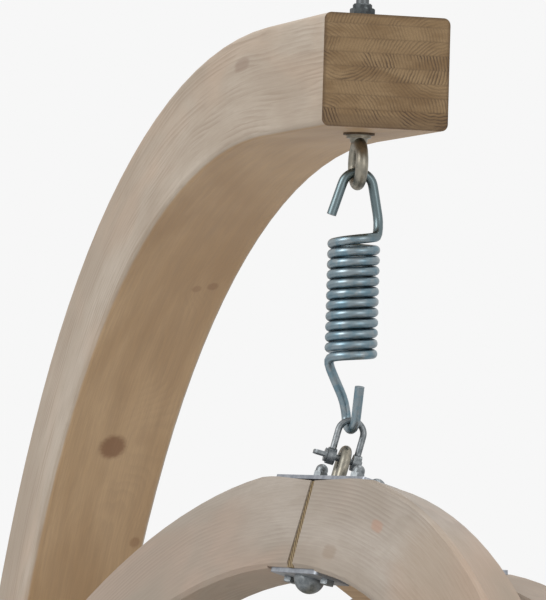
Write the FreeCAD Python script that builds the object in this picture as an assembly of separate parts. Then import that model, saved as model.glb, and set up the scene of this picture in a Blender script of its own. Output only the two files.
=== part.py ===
import FreeCAD, Part
import math
import os

# Hanging chair on a curved timber stand. Millimetres, +Z up, the floor is Z = 0.
# X = 0, Y = 0 is the vertical line that the chair hangs on; +X is the way the arm points.

os.makedirs("parts", exist_ok=True)

V = FreeCAD.Vector
UP = V(0, 0, 1)
ALONG = V(1, 0, 0)
ACROSS = V(0, 1, 0)

# ---------------------------------------------------------------- driving sizes
ARM_WIDTH = 100.0
ARM_DEPTH = 85.5
ARM_EDGE = 5.5
TIP_REACH = 60.0
TIP_HEIGHT = 1870.0
ARM_STRAIGHT = 149.0
ARM_BENDS = [(784.0, 48.5), (1010.0, 41.5)]
FOOT_BEND = 1300.0
FOOT_OVERRUN = 7.0

GLIDE_HEIGHT = 8.0
GLIDE_RADIUS = 24.0
GLIDE_INSET = 70.0
GLIDE_SCREW = 2.5
GLIDE_PILOT = 31.0
BEAM_HEIGHT = 80.0
BEAM_WIDTH = ARM_WIDTH
BEAM_EDGE = 6.0
KEEL_BACK = -860.0
KEEL_FRONT = 420.0
CROSS_LENGTH = 1200.0
BASE_TOP = GLIDE_HEIGHT + BEAM_HEIGHT

EYE_WIRE = 9.6
EYE_MEAN = 15.6
EYE_DROP = ARM_DEPTH / 2.0 + 23.25
EYE_SHANK = 10.0
EYE_WASHER = 1.6
NUT_AF = 17.0
FRAME_BOLT = 10.0
BOLT_FIT = 0.05
FRAME_WASHER = 24.0
FOOT_PLATE = 4.0
LAP_SINK = 12.0
LAP_WASHER = 2.0
FRAME_HEAD = 6.4
NUT_GRIP = 10.0

EYE_YAW = -8.0

SPRING_WIRE = 7.4
SPRING_MEAN = 16.6
SPRING_PITCH = 7.9
SPRING_TURNS = 11
COIL_SHIFT = -1.6
COIL_TOP_DROP = EYE_DROP + 60.8
END_TURN_PITCH = 14.0
END_RISE = 2.0
BOTTOM_HOOK_DROP = EYE_DROP + 202.3
LINK_GAP = 0.5
HOOK_MEAN = 10.5
HOOK_TAIL = 28.0
HOOK_SPLAY = 20.5
HOOK_LEG_LEAN = 10.5
LOW_REACH = 18.5
LOW_KNEE = 7.0
LOW_HOOK_YAW = 10.0
LOW_HOOK_TAIL = 25.0
LOW_HOOK_SPLAY = 14.0
BEND_RADIUS = 6.0
JOIN_SWELL = 0.015

SHACKLE_WIRE = 5.0
SHACKLE_MEAN = 9.8
SHACKLE_LEG = 21.0

CHAIR_YAW = -81.1
FRONT_LEAN = -16.0
REAR_LEAN = 3.2
PIN_YAW = 9.0

RING_EYE_WIRE = 8.4
RING_EYE_MEAN = 10.0
RING_EYE_RISE = 14.3

HOOP_DEPTH = 40.0
HOOP_THICK = 78.0
HOOP_EDGE = 3.0
FRONT_OUTER = 565.0
REAR_OUTER = 515.0
CROWN_FLAT = 7.5
CROWN_DIP = 2.5
DIP_HALF = 58.0
REAR_BEHIND = 129.0
REAR_BELOW = 37.0

TOP_PLATE = (145.0, 32.0, 3.0)
CLAMP_PLATE = (76.0, 32.0, 3.5)
BOLT_SPREAD = 30.0
CROWN_BOLT = 6.0
CROWN_NUT_AF = 10.0
CROWN_HEAD = 4.0
CROWN_WASHER = (18.0, 1.4)
PLATE_SCREW = 2.0
PLATE_SCREW_REACH = 28.0
CROWN_SHANK = 4.0
DOME_RADIUS = 11.7
DOWEL = 6.0
DOWEL_SPREAD = 17.0
SPREADER = 13.0
SPREADER_SCREW = 3.0
SPREADER_ANGLE = 125.0
SCREW_SPREAD = 66.0
PACKING_TOP = 6.0
PACKING_LOW = 9.0
RECESS = CLAMP_PLATE[0] / 2.0 + 0.5

SLING_SPAN = 108.0
SLING_THICK = 2.2
SLING_SAG = 50.0
SLING_STEPS = 8
SLING_ROWS = 54
HEM_GAP = 0.3
HEM_EDGE = 16.5
HEM_FRONT = 14.0
HEM_REAR = -2.0
STRIP_THICK = 2.0
STRIP_WIDTH = 13.0
STRIP_SCREWS = 8
STRIP_SCREW = 1.6
STRIP_FORWARD = {"front": -1.0, "rear": 7.0}
PANEL_THICK = 2.2
PANEL_BULGE = 62.0
PANEL_EDGE = -6.0
PANEL_CUT = 235.0
CUSHION_GAP = 1.0
BACK_CUSHION = 275.0
BACK_CUSHION_THICK = 80.0
PLATE_RISE = 118.0
KEEL_BOLT_DROP = 38.0
KEEL_BOLTS = (-62.0, 72.0)
ARM_BOLTS = (58.0, 134.0)
CUSHION_THICK = 120.0
CUSHION_EDGE = 12.0
CUSHION_REACH = 56.0
CUSHION_STEPS = 10
CUSHION_ROWS = 20

TIP_BOTTOM = TIP_HEIGHT - ARM_DEPTH / 2.0
TIP_TOP = TIP_HEIGHT + ARM_DEPTH / 2.0
EYE_INNER = TIP_HEIGHT - EYE_DROP - EYE_MEAN + EYE_WIRE / 2.0
EYE_TURN = FreeCAD.Placement(V(0, 0, 0), FreeCAD.Rotation(UP, EYE_YAW))


# ---------------------------------------------------------------- helpers
def save(name, shape):
    shape.exportStep("parts/" + name + ".step")


def block(x0, x1, y0, y1, z0, z1):
    return Part.makeBox(x1 - x0, y1 - y0, z1 - z0, V(x0, y0, z0))


def rod(radius, start, axis, length):
    return Part.makeCylinder(radius, length, start, axis)


def unit(v):
    return v * (1.0 / v.Length)


def frame_to(origin, x_axis, z_axis):
    """Placement whose local Z runs along z_axis and whose local X is as near x_axis as it can be."""
    z = unit(z_axis)
    x = unit(x_axis - z * x_axis.dot(z))
    y = z.cross(x)
    m = FreeCAD.Matrix(x.x, y.x, z.x, origin.x, x.y, y.y, z.y, origin.y, x.z, y.z, z.z, origin.z, 0, 0, 0, 1)
    return FreeCAD.Placement(m)


def moved(shape, placement):
    out = shape.copy()
    out.Placement = placement.multiply(out.Placement)
    return out


def hex_prism(across_flats, height):
    r = across_flats / math.sqrt(3.0)
    points = [V(r * math.cos(math.radians(60 * k)), r * math.sin(math.radians(60 * k)), 0) for k in range(7)]
    prism = Part.Face(Part.makePolygon(points)).extrude(V(0, 0, height))
    trim = across_flats * 0.5 + 0.35 * (r - across_flats * 0.5)
    cone = Part.makeCone(trim, trim + height * 1.7, height * 1.7)
    cap = Part.makeCone(trim + height * 1.7, trim, height * 1.7, V(0, 0, -height * 0.7))
    return prism.common(cone.fuse(block(-r, r, -r, r, height * 0.3, height))).common(cap)


def turned(points, axis_end=None):
    """Solid of revolution about Z from (radius, z) points."""
    wire = Part.makePolygon([V(r, 0, z) for r, z in points + [points[0]]])
    return Part.Face(wire).revolve(V(0, 0, 0), UP, 360)


def dome(radius, height, base=0.0):
    """Ball cap that is `radius` wide at its foot and `height` high, seated at z = base."""
    ball = (radius * radius + height * height) / (2.0 * height)
    sphere = Part.makeSphere(ball, V(0, 0, base + height - ball))
    return sphere.common(block(-radius, radius, -radius, radius, base, base + height + 1.0))


def cap_nut(across_flats, bore):
    """Acorn nut standing on z = 0 with a blind bore."""
    hex_height = across_flats * 0.55
    total = across_flats * 1.2
    ball = across_flats * 0.475
    body = hex_prism(across_flats, hex_height)
    neck = rod(ball, V(0, 0, hex_height), UP, total - hex_height - ball)
    top = Part.makeSphere(ball, V(0, 0, total - ball))
    body = body.fuse(neck).fuse(top.common(block(-ball, ball, -ball, ball, total - ball, total)))
    return body.cut(rod(bore / 2.0, V(0, 0, 0), UP, total - 2.5)).removeSplitter()


def hex_bolt(across_flats, head, shank, length):
    """Bolt with its head above z = 0 and its shank going down."""
    return hex_prism(across_flats, head).fuse(rod(shank / 2.0, V(0, 0, -length), UP, length)).removeSplitter()


def ring_washer(outer, inner, thick):
    return rod(outer / 2.0, V(0, 0, 0), UP, thick).cut(rod(inner / 2.0, V(0, 0, 0), UP, thick))


def compound(shapes):
    return Part.makeCompound(shapes)


# ---------------------------------------------------------------- stand arm
def rounded_section(width, depth, radius):
    """Rectangle in the plane X = 0 with rounded corners, centred."""
    y = width / 2.0
    z = depth / 2.0
    edges = []
    for cy, cz, turn in ((y - radius, z - radius, 0), (radius - y, z - radius, 90),
                         (radius - y, radius - z, 180), (y - radius, radius - z, 270)):
        spots = []
        for angle in (turn, turn + 45, turn + 90):
            a = math.radians(angle)
            spots.append(V(0, cy + radius * math.cos(a), cz + radius * math.sin(a)))
        edges.append(spots)
    shapes = []
    for spots, following in zip(edges, edges[1:] + edges[:1]):
        shapes.append(Part.Arc(*spots).toShape())
        shapes.append(Part.LineSegment(spots[2], following[0]).toShape())
    return Part.Face(Part.Wire(shapes))


def foot_middle():
    """X of the arm's middle where it meets the base, and its slope there."""
    heading = 0.0
    point = V(TIP_REACH - ARM_STRAIGHT, 0, TIP_HEIGHT)
    for radius, turn in ARM_BENDS:
        a = heading + math.radians(turn)
        centre = point - V(-math.sin(heading), 0, math.cos(heading)) * radius
        point = centre + V(-math.sin(a), 0, math.cos(a)) * radius
        heading = a
    drop = math.asin((point.z - BASE_TOP) / FOOT_BEND)
    return point.x + FOOT_BEND * (1.0 - math.cos(drop)), drop


FOOT_X, FOOT_ANGLE = foot_middle()


def arm_spot(rise):
    """X and Z of the arm's middle line, `rise` along the arm from where it meets the base."""
    angle = FOOT_ANGLE - rise / FOOT_BEND
    x = FOOT_X + FOOT_BEND * (math.cos(FOOT_ANGLE) - math.cos(angle))
    return x, BASE_TOP + FOOT_BEND * (math.sin(FOOT_ANGLE) - math.sin(angle))


FOOT_BOLTS = [(FOOT_X + x, BASE_TOP - KEEL_BOLT_DROP) for x in KEEL_BOLTS] + [arm_spot(r) for r in ARM_BOLTS]


FRAME_HOLE = FRAME_BOLT / 2.0 + BOLT_FIT


def foot_holes():
    holes = [rod(FRAME_HOLE, V(x, -ARM_WIDTH, z), ACROSS, 2.0 * ARM_WIDTH) for x, z in FOOT_BOLTS]
    return holes[0].fuse(holes[1:])


def stand_arm():
    """The section run straight from the tip and round the tangent bends, the last one cut off at the base."""
    section = rounded_section(ARM_WIDTH, ARM_DEPTH, ARM_EDGE)
    section.translate(V(TIP_REACH, 0, TIP_HEIGHT))
    lengths = [section.extrude(V(-ARM_STRAIGHT, 0, 0))]
    section.translate(V(-ARM_STRAIGHT, 0, 0))
    middle = V(TIP_REACH - ARM_STRAIGHT, 0, TIP_HEIGHT)
    inward = V(0, 0, -1)
    for radius, turn in ARM_BENDS + [(FOOT_BEND, math.degrees(FOOT_ANGLE) + FOOT_OVERRUN)]:
        centre = middle + inward * radius
        lengths.append(section.revolve(centre, V(0, -1, 0), turn))
        section.rotate(centre, V(0, -1, 0), turn)
        middle = FreeCAD.Rotation(V(0, -1, 0), turn).multVec(middle - centre) + centre
        inward = unit(centre - middle)
    body = lengths[0].fuse(lengths[1:])
    body = body.cut(block(-2 * TIP_HEIGHT, TIP_HEIGHT, -ARM_WIDTH, ARM_WIDTH, -TIP_HEIGHT, BASE_TOP))
    body = body.cut(rod(EYE_SHANK / 2.0 + 0.05, V(0, 0, TIP_BOTTOM - 1), UP, ARM_DEPTH + 2))
    return body.cut(foot_holes())


# ---------------------------------------------------------------- base
def beam(length):
    """Beam along X, centred, with soft long edges and ends."""
    half = length / 2.0
    body = block(-half, half, -BEAM_WIDTH / 2.0, BEAM_WIDTH / 2.0, GLIDE_HEIGHT, BASE_TOP)
    upright = [e for e in body.Edges if abs(e.Vertexes[0].Z - e.Vertexes[1].Z) > 1]
    body = body.makeFillet(BEAM_WIDTH * 0.32, upright)
    rims = [e for e in body.Edges if abs(e.BoundBox.ZMin - e.BoundBox.ZMax) < 0.01]
    return body.makeFillet(BEAM_EDGE, rims)


def glide_spots():
    side = CROSS_LENGTH / 2.0 - GLIDE_INSET
    return [(KEEL_FRONT - GLIDE_INSET, 0), (KEEL_BACK + GLIDE_INSET, 0), (0, side), (0, -side)]


LAP_POCKET = 13.0
PLUG_GAP = 0.1


def keel_beam():
    body = beam(KEEL_FRONT - KEEL_BACK)
    body.translate(V((KEEL_FRONT + KEEL_BACK) / 2.0, 0, 0))
    half = BEAM_WIDTH / 2.0
    lap = block(-half, half, -half - 1, half + 1, GLIDE_HEIGHT - 1, GLIDE_HEIGHT + BEAM_HEIGHT / 2.0)
    body = body.cut(lap).cut(rod(FRAME_HOLE, V(0, 0, 0), UP, 2.0 * BASE_TOP)).cut(foot_holes())
    return body.cut(glide_pilots([p for p in glide_spots() if p[1] == 0]))


def cross_beam():
    body = beam(CROSS_LENGTH)
    body.rotate(V(0, 0, 0), UP, 90)
    half = BEAM_WIDTH / 2.0
    lap = block(-half - 1, half + 1, -half, half, GLIDE_HEIGHT + BEAM_HEIGHT / 2.0, BASE_TOP + 1)
    body = body.cut(lap).cut(rod(FRAME_HOLE, V(0, 0, 0), UP, 2.0 * BASE_TOP))
    body = body.cut(rod(LAP_POCKET, V(0, 0, 0), UP, GLIDE_HEIGHT + LAP_SINK))
    return body.cut(glide_pilots([p for p in glide_spots() if p[1] != 0]))


def glide_pilots(spots):
    pilots = [rod(GLIDE_SCREW, V(x, y, GLIDE_HEIGHT - 1), UP, GLIDE_PILOT) for x, y in spots]
    return pilots[0].fuse(pilots[1:])


def floor_glide(x, y):
    puck = rod(GLIDE_RADIUS, V(x, y, 0), UP, GLIDE_HEIGHT)
    puck = puck.makeChamfer(1.5, [puck.Edges[0], puck.Edges[2]])
    puck = puck.cut(rod(GLIDE_SCREW + BOLT_FIT, V(x, y, -1), UP, 20))
    return puck.cut(Part.makeCone(5.6, 2.6, 3.2, V(x, y, 1.6))).cut(rod(5.6, V(x, y, -1), UP, 2.6))


def centre_foot():
    """Foot under the crossing; its plug closes the pocket of the lap bolt."""
    puck = rod(GLIDE_RADIUS, V(0, 0, 0), UP, GLIDE_HEIGHT)
    puck = puck.makeChamfer(1.5, [puck.Edges[0], puck.Edges[2]])
    plug = rod(LAP_POCKET - PLUG_GAP, V(0, 0, GLIDE_HEIGHT - 1.0), UP, LAP_SINK - FRAME_HEAD - 0.6)
    return puck.fuse(plug).removeSplitter()


def glide_screw(x, y):
    head = Part.makeCone(5.2, GLIDE_SCREW, 3.0, V(x, y, 1.7))
    return head.fuse(rod(GLIDE_SCREW, V(x, y, 4.7), UP, 32.3)).removeSplitter()


def foot_plate(side):
    """Steel cheek over the joint of arm and keel; side is +1 or -1."""
    low = BASE_TOP - 62.0
    lean = V(-math.sin(FOOT_ANGLE), 0, math.cos(FOOT_ANGLE))
    outline = [V(FOOT_X - 100, 0, low), V(FOOT_X + 100, 0, low), V(FOOT_X + 100, 0, BASE_TOP - 14),
               V(FOOT_X + 24, 0, BASE_TOP + 26), V(FOOT_X + 24, 0, BASE_TOP + 26) + lean * (PLATE_RISE - 26.0),
               V(FOOT_X - 46, 0, BASE_TOP + 26) + lean * PLATE_RISE, V(FOOT_X - 100, 0, BASE_TOP - 4)]
    face = Part.Face(Part.makePolygon(outline + [outline[0]]))
    plate = face.extrude(V(0, FOOT_PLATE, 0))
    corners = [e for e in plate.Edges if abs(e.Vertexes[0].Y - e.Vertexes[1].Y) > 1]
    plate = plate.makeFillet(8.0, corners)
    plate.translate(V(0, ARM_WIDTH / 2.0 if side > 0 else -ARM_WIDTH / 2.0 - FOOT_PLATE, 0))
    return plate.cut(foot_holes())


def foot_bolts():
    out = []
    for x, z in FOOT_BOLTS:
        bolt = hex_bolt(NUT_AF, FRAME_HEAD, FRAME_BOLT, ARM_WIDTH + 2.0 * FOOT_PLATE + NUT_GRIP)
        out.append(moved(bolt, frame_to(V(x, -ARM_WIDTH / 2.0 - FOOT_PLATE, z), ALONG, V(0, -1, 0))))
    return compound(out)


def foot_cap_nuts():
    nut = cap_nut(NUT_AF, FRAME_BOLT)
    face = ARM_WIDTH / 2.0 + FOOT_PLATE
    return compound([moved(nut, frame_to(V(x, face, z), ALONG, ACROSS)) for x, z in FOOT_BOLTS])


# ---------------------------------------------------------------- hanging gear
def eye_bolt():
    centre = V(0, 0, TIP_HEIGHT - EYE_DROP)
    ring = Part.makeTorus(EYE_MEAN, EYE_WIRE / 2.0, centre, ACROSS)
    seat = TIP_BOTTOM - EYE_WASHER
    collar = rod(9.5, V(0, 0, seat - 2.4), UP, 2.4)
    shank = rod(EYE_SHANK / 2.0, V(0, 0, seat - 2.4), UP, TIP_TOP + 18.0 - seat + 2.4)
    neck = Part.makeCone(6.4, 7.6, 5.0, V(0, 0, seat - 5.6))
    shank = shank.makeChamfer(1.0, [e for e in shank.Edges if e.BoundBox.ZMin > TIP_TOP])
    return moved(ring.fuse([collar, neck, shank]).removeSplitter(), EYE_TURN)


def eye_washers():
    low = ring_washer(FRAME_WASHER, EYE_SHANK + 0.4, EYE_WASHER)
    high = low.copy()
    low.translate(V(0, 0, TIP_BOTTOM - EYE_WASHER))
    high.translate(V(0, 0, TIP_TOP))
    return compound([low, high])


def eye_lock_nut():
    nut = hex_prism(NUT_AF, 8.0)
    crown = turned([(0, 8.0), (7.4, 8.0), (7.4, 10.6), (6.4, 11.6), (0, 11.6)])
    nut = nut.fuse(crown).cut(rod(EYE_SHANK / 2.0, V(0, 0, -1), UP, 20))
    nut = nut.cut(rod(6.4, V(0, 0, 8.2), UP, 2.4)).removeSplitter()
    nut.translate(V(0, 0, TIP_TOP + EYE_WASHER))
    return nut


def lock_nut_insert():
    insert = ring_washer(12.8, EYE_SHANK, 2.4)
    insert.translate(V(0, 0, TIP_TOP + EYE_WASHER + 8.2))
    return insert




def round_wire(radius, points, bend):
    """Round wire along straight runs joined by tangent arcs."""
    edges = []
    start = points[0]
    for before, corner, after in zip(points[:-2], points[1:-1], points[2:]):
        a = unit(before - corner)
        b = unit(after - corner)
        half = a.getAngle(b) / 2.0
        back = bend / math.tan(half)
        middle = corner + unit(a + b) * (bend / math.sin(half) - bend)
        edges.append(Part.LineSegment(start, corner + a * back).toShape())
        edges.append(Part.Arc(corner + a * back, middle, corner + b * back).toShape())
        start = corner + b * back
    edges.append(Part.LineSegment(start, points[-1]).toShape())
    profile = Part.Wire([Part.makeCircle(radius, points[0], points[1] - points[0])])
    return Part.Wire(edges).makePipeShell([profile], True, True)


def hook_arc(mean, radius, centre, side, first, last):
    """Length of torus in the plane of `side` and Z, between two angles measured from `side`."""
    normal = side.cross(UP)
    start = FreeCAD.Rotation(normal, first).multVec(side)
    profile = Part.Face(Part.Wire([Part.makeCircle(radius, centre + start * mean, normal.cross(start))]))
    return profile.revolve(centre, normal, last - first)


def coil(pitch, turn, first_angle, low):
    """Helix of the spring's mean radius through `turn` degrees, from an angle and z = low."""
    path = Part.makeHelix(pitch, pitch * turn / 360.0, SPRING_MEAN)
    path.rotate(V(0, 0, 0), UP, first_angle)
    path.translate(V(0, COIL_SHIFT, low))
    first = path.Edges[0]
    start = first.valueAt(first.FirstParameter)
    profile = Part.Wire([Part.makeCircle(SPRING_WIRE / 2.0, start, first.tangentAt(first.FirstParameter))])
    return Part.Wire(path.Edges).makePipeShell([profile], True, True)


def on_coil(angle, z):
    a = math.radians(angle)
    return V(SPRING_MEAN * math.cos(a), COIL_SHIFT + SPRING_MEAN * math.sin(a), z)


def tension_spring():
    """Close coil of round wire with an open hook at each end; the top hook lies in the local YZ plane."""
    wire = SPRING_WIRE / 2.0
    main_top = TIP_HEIGHT - COIL_TOP_DROP
    main_low = main_top - SPRING_PITCH * SPRING_TURNS
    low_angle = math.degrees(math.acos(SPRING_MEAN / LOW_REACH)) - 90.0
    hook_centre = V(0, 0, EYE_INNER + wire + LINK_GAP - HOOK_MEAN)
    lean = math.radians(HOOK_LEG_LEAN)
    meet = hook_centre + V(0, HOOK_MEAN * math.cos(lean), HOOK_MEAN * math.sin(lean))
    lip_z = main_top + END_TURN_PITCH / 3.0 + END_RISE
    lip = V(0, meet.y + (meet.z - lip_z) * math.tan(lean), lip_z)
    top_angle = 90.0 - math.degrees(math.acos(SPRING_MEAN / (lip.y - COIL_SHIFT)))
    main = coil(SPRING_PITCH, 360.0 * SPRING_TURNS, low_angle, main_low)
    end_turn = coil(END_TURN_PITCH, top_angle - low_angle, low_angle, main_top)
    leave = on_coil(top_angle, main_top + END_TURN_PITCH * (top_angle - low_angle) / 360.0)
    rise = round_wire(wire, [leave, lip, meet], BEND_RADIUS)
    arch = hook_arc(HOOK_MEAN, wire, hook_centre, ACROSS, HOOK_LEG_LEAN, 180.0 - HOOK_SPLAY)
    splay = math.radians(HOOK_SPLAY)
    free = hook_centre + V(0, -HOOK_MEAN * math.cos(splay), HOOK_MEAN * math.sin(splay))
    tail = rod(wire, free, V(0, -math.sin(splay), -math.cos(splay)), HOOK_TAIL)
    ends = (on_coil(low_angle, main_top), leave, on_coil(low_angle, main_low))
    joints = [Part.makeSphere(wire + JOIN_SWELL, p) for p in ends]
    pieces = [end_turn, rise, arch, tail] + low_hook(on_coil(low_angle, main_low), wire) + joints
    return moved(main.fuse(pieces).removeSplitter(), EYE_TURN)


def low_hook(start, wire):
    """The bottom hook's pieces: down from the coil, round the shackle and up to the cut end."""
    side = FreeCAD.Rotation(UP, LOW_HOOK_YAW).multVec(ALONG)
    centre = V(0, 0, TIP_HEIGHT - BOTTOM_HOOK_DROP + HOOK_MEAN)
    meet = centre - side * HOOK_MEAN
    lip = V(0, COIL_SHIFT - LOW_REACH, start.z - END_RISE)
    fall = round_wire(wire, [start, lip, meet + UP * LOW_KNEE, meet], BEND_RADIUS)
    arch = hook_arc(HOOK_MEAN, wire, centre, side, -180.0, -LOW_HOOK_SPLAY)
    splay = math.radians(LOW_HOOK_SPLAY)
    free = centre + side * (HOOK_MEAN * math.cos(splay)) - UP * (HOOK_MEAN * math.sin(splay))
    tail = rod(wire, free, side * math.sin(splay) + UP * math.cos(splay), LOW_HOOK_TAIL)
    return [fall, arch, tail]


def link_axes():
    """Lean direction of the chair's front hoop, and the pin's direction square to it."""
    yaw = FreeCAD.Rotation(UP, CHAIR_YAW)
    lean = yaw.multVec(FreeCAD.Rotation(ACROSS, FRONT_LEAN).multVec(UP))
    flat = V(math.sin(math.radians(PIN_YAW)), math.cos(math.radians(PIN_YAW)), 0)
    pin = unit(flat - lean * flat.dot(lean))
    return lean, pin


LEAN, PIN = link_axes()
HOOK_LOW = V(0, 0, TIP_HEIGHT - BOTTOM_HOOK_DROP)
BOW_CENTRE = HOOK_LOW + UP * (SPRING_WIRE / 2.0 + SHACKLE_WIRE / 2.0 + LINK_GAP - SHACKLE_MEAN)
PIN_CENTRE = BOW_CENTRE - LEAN * SHACKLE_LEG
SHACKLE_FRAME = frame_to(PIN_CENTRE, PIN, LEAN)
EYE_TOP = (SHACKLE_WIRE + RING_EYE_WIRE) / 2.0 + 0.3
CROWN = PIN_CENTRE + LEAN * (EYE_TOP - RING_EYE_MEAN - RING_EYE_RISE)


def shackle_bow():
    """D shackle: local X runs along the pin, local Z up the shackle."""
    r = SHACKLE_WIRE / 2.0
    m = SHACKLE_MEAN
    arch = Part.makeTorus(m, r, V(0, 0, SHACKLE_LEG), ACROSS)
    arch = arch.common(block(-20, 20, -10, 10, SHACKLE_LEG, SHACKLE_LEG + 20))
    legs = [rod(r, V(x, 0, 0), UP, SHACKLE_LEG) for x in (-m, m)]
    lugs = [rod(6.4, V(x - 3.2, 0, 0), ALONG, 6.4) for x in (-m - 0.2, m + 0.2)]
    body = arch.fuse(legs + lugs)
    body = body.cut(rod(SHACKLE_WIRE / 2.0 + 0.08, V(-30, 0, 0), ALONG, 60)).removeSplitter()
    return moved(body, SHACKLE_FRAME)


def shackle_pin():
    r = SHACKLE_WIRE / 2.0
    left = -SHACKLE_MEAN - 3.4
    shank = rod(r, V(left - 1.0, 0, 0), ALONG, -2 * left + 2.2)
    collar = rod(5.2, V(left - 1.9, 0, 0), ALONG, 1.7)
    wing = block(left - 10.6, left - 1.5, -5.6, 5.6, -1.3, 1.3)
    tips = [e for e in wing.Edges if abs(e.Vertexes[0].Z - e.Vertexes[1].Z) > 1 and e.CenterOfMass.x < left - 9]
    wing = wing.makeFillet(3.6, tips)
    wing = wing.cut(rod(1.7, V(left - 6.6, 0, -3), UP, 6))
    return moved(shank.fuse([collar, wing]).removeSplitter(), SHACKLE_FRAME)


# ---------------------------------------------------------------- chair frames
CHAIR = FreeCAD.Placement(CROWN, FreeCAD.Rotation(UP, CHAIR_YAW))


def hoop_frame(lean_deg, centre):
    """Frame of a hoop: origin in its middle, X out of its front face, Z up in its plane."""
    return CHAIR.multiply(FreeCAD.Placement(centre, FreeCAD.Rotation(ACROSS, lean_deg)))


def in_plane(lean_deg, forward, upward):
    return FreeCAD.Rotation(ACROSS, lean_deg).multVec(V(forward, 0, upward))


SEAT_FLAT = TOP_PLATE[2]
CROWN_BORE = CROWN_BOLT / 2.0 + BOLT_FIT
SHANK_BORE = CROWN_SHANK + BOLT_FIT
FRONT_CENTRE = in_plane(FRONT_LEAN, 0, CROWN_FLAT - FRONT_OUTER - SEAT_FLAT)
FRONT_APEX = in_plane(FRONT_LEAN, 0, CROWN_FLAT - SEAT_FLAT)
REAR_APEX = FRONT_APEX + in_plane(FRONT_LEAN, -REAR_BEHIND, -REAR_BELOW)
REAR_CENTRE = REAR_APEX + in_plane(REAR_LEAN, 0, -REAR_OUTER)
FRONT_FRAME = hoop_frame(FRONT_LEAN, FRONT_CENTRE)
REAR_FRAME = hoop_frame(REAR_LEAN, REAR_CENTRE)


def full_hoop(outer):
    inner = outer - HOOP_THICK
    half = HOOP_DEPTH / 2.0
    body = rod(outer, V(-half, 0, 0), ALONG, HOOP_DEPTH).cut(rod(inner, V(-half, 0, 0), ALONG, HOOP_DEPTH))
    rims = [e for e in body.Edges if abs(e.BoundBox.XMin - e.BoundBox.XMax) < 0.01 and e.Length > outer]
    return body.makeChamfer(HOOP_EDGE, rims)


def splice_levels(outer, end):
    """Radii of the outer and inner seats of a clamped joint; the bottom one is sunk clear of the cloth."""
    sunk = CLAMP_PLATE[2] + CROWN_HEAD + 0.6 if end < 0 else 0.0
    return math.sqrt(outer * outer - RECESS * RECESS), outer - HOOP_THICK + sunk


def splice_seats(outer, end):
    """Tool for two clamp plates and the two bolt bores, at the hoop's top (+1) or bottom (-1)."""
    high_seat, low_seat = splice_levels(outer, end)
    high = block(-HOOP_DEPTH, HOOP_DEPTH, -RECESS, RECESS, high_seat, outer + 20)
    low = block(-HOOP_DEPTH, HOOP_DEPTH, -RECESS, RECESS, low_seat - 30, low_seat)
    bores = [rod(CROWN_BORE, V(0, y, low_seat - 30), UP, HOOP_THICK + 60) for y in (-BOLT_SPREAD, BOLT_SPREAD)]
    cutter = high.fuse([low] + bores)
    if end < 0:
        cutter.rotate(V(0, 0, 0), ALONG, 180)
    return cutter


def clamp_plate(height):
    length, width, thick = CLAMP_PLATE
    plate = block(-width / 2.0, width / 2.0, -length / 2.0, length / 2.0, height, height + thick)
    upright = [e for e in plate.Edges if abs(e.Vertexes[0].Z - e.Vertexes[1].Z) > 1]
    plate = plate.makeFillet(4.0, upright)
    for y in (-BOLT_SPREAD, BOLT_SPREAD):
        plate = plate.cut(rod(CROWN_BORE, V(0, y, height - 1), UP, thick + 2))
    return plate


def splice_parts(outer, end, frame):
    """Two plates, two bolts and two cap nuts that clamp the ends of a hoop's halves."""
    high, low = splice_levels(outer, end)
    thick = CLAMP_PLATE[2]
    plates = [clamp_plate(high), clamp_plate(low - thick)]
    head_side, nut_side = (low - thick, high + thick) if end < 0 else (high + thick, low - thick)
    away = V(0, 0, 1 if head_side > nut_side else -1)
    bolts = []
    nuts = []
    for y in (-BOLT_SPREAD, BOLT_SPREAD):
        bolt = hex_bolt(CROWN_NUT_AF, CROWN_HEAD, CROWN_BOLT, abs(head_side - nut_side) + 7.0)
        nut = cap_nut(CROWN_NUT_AF, CROWN_BOLT)
        bolts.append(moved(bolt, frame_to(V(0, y, head_side), ALONG, away)))
        nuts.append(moved(nut, frame_to(V(0, y, nut_side), ALONG, away * -1.0)))
    groups = []
    for group in (plates, bolts, nuts):
        if end < 0:
            for item in group:
                item.rotate(V(0, 0, 0), ALONG, 180)
        groups.append([moved(item, frame) for item in group])
    return groups


def spreader_ends():
    """Middle points of a spreader rod on the two hoops, in the chair's own frame, on its +Y side."""
    front_mid = FRONT_OUTER - HOOP_THICK / 2.0
    rear_mid = REAR_OUTER - HOOP_THICK / 2.0
    angle = math.radians(SPREADER_ANGLE)
    side = front_mid * math.sin(angle)
    front = FRONT_CENTRE + in_plane(FRONT_LEAN, 0, front_mid * math.cos(angle)) + V(0, side, 0)
    rear_up = -math.sqrt(rear_mid * rear_mid - side * side)
    rear = REAR_CENTRE + in_plane(REAR_LEAN, 0, rear_up) + V(0, side, 0)
    return front, rear


def spreader(side):
    front, rear = spreader_ends()
    front = V(front.x, front.y * side, front.z)
    rear = V(rear.x, rear.y * side, rear.z)
    along = unit(front - rear)
    body = moved(rod(SPREADER, rear - along * 2.0, along, (front - rear).Length + 4.0), CHAIR)
    return body.cut([spreader_screw(True, side), spreader_screw(False, side)])


def spreader_screw(at_front, side):
    front, rear = spreader_ends()
    point = front if at_front else rear
    along = unit(front - rear) * (1.0 if at_front else -1.0)
    point = V(point.x, point.y * side, point.z)
    start = point + along * (HOOP_DEPTH / 2.0)
    screw = rod(SPREADER_SCREW, V(0, 0, -42), UP, 42.0).fuse(dome(8.0, 3.6)).removeSplitter()
    return moved(moved(screw, frame_to(start + along * 1.5, ACROSS, along)), CHAIR)


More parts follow.
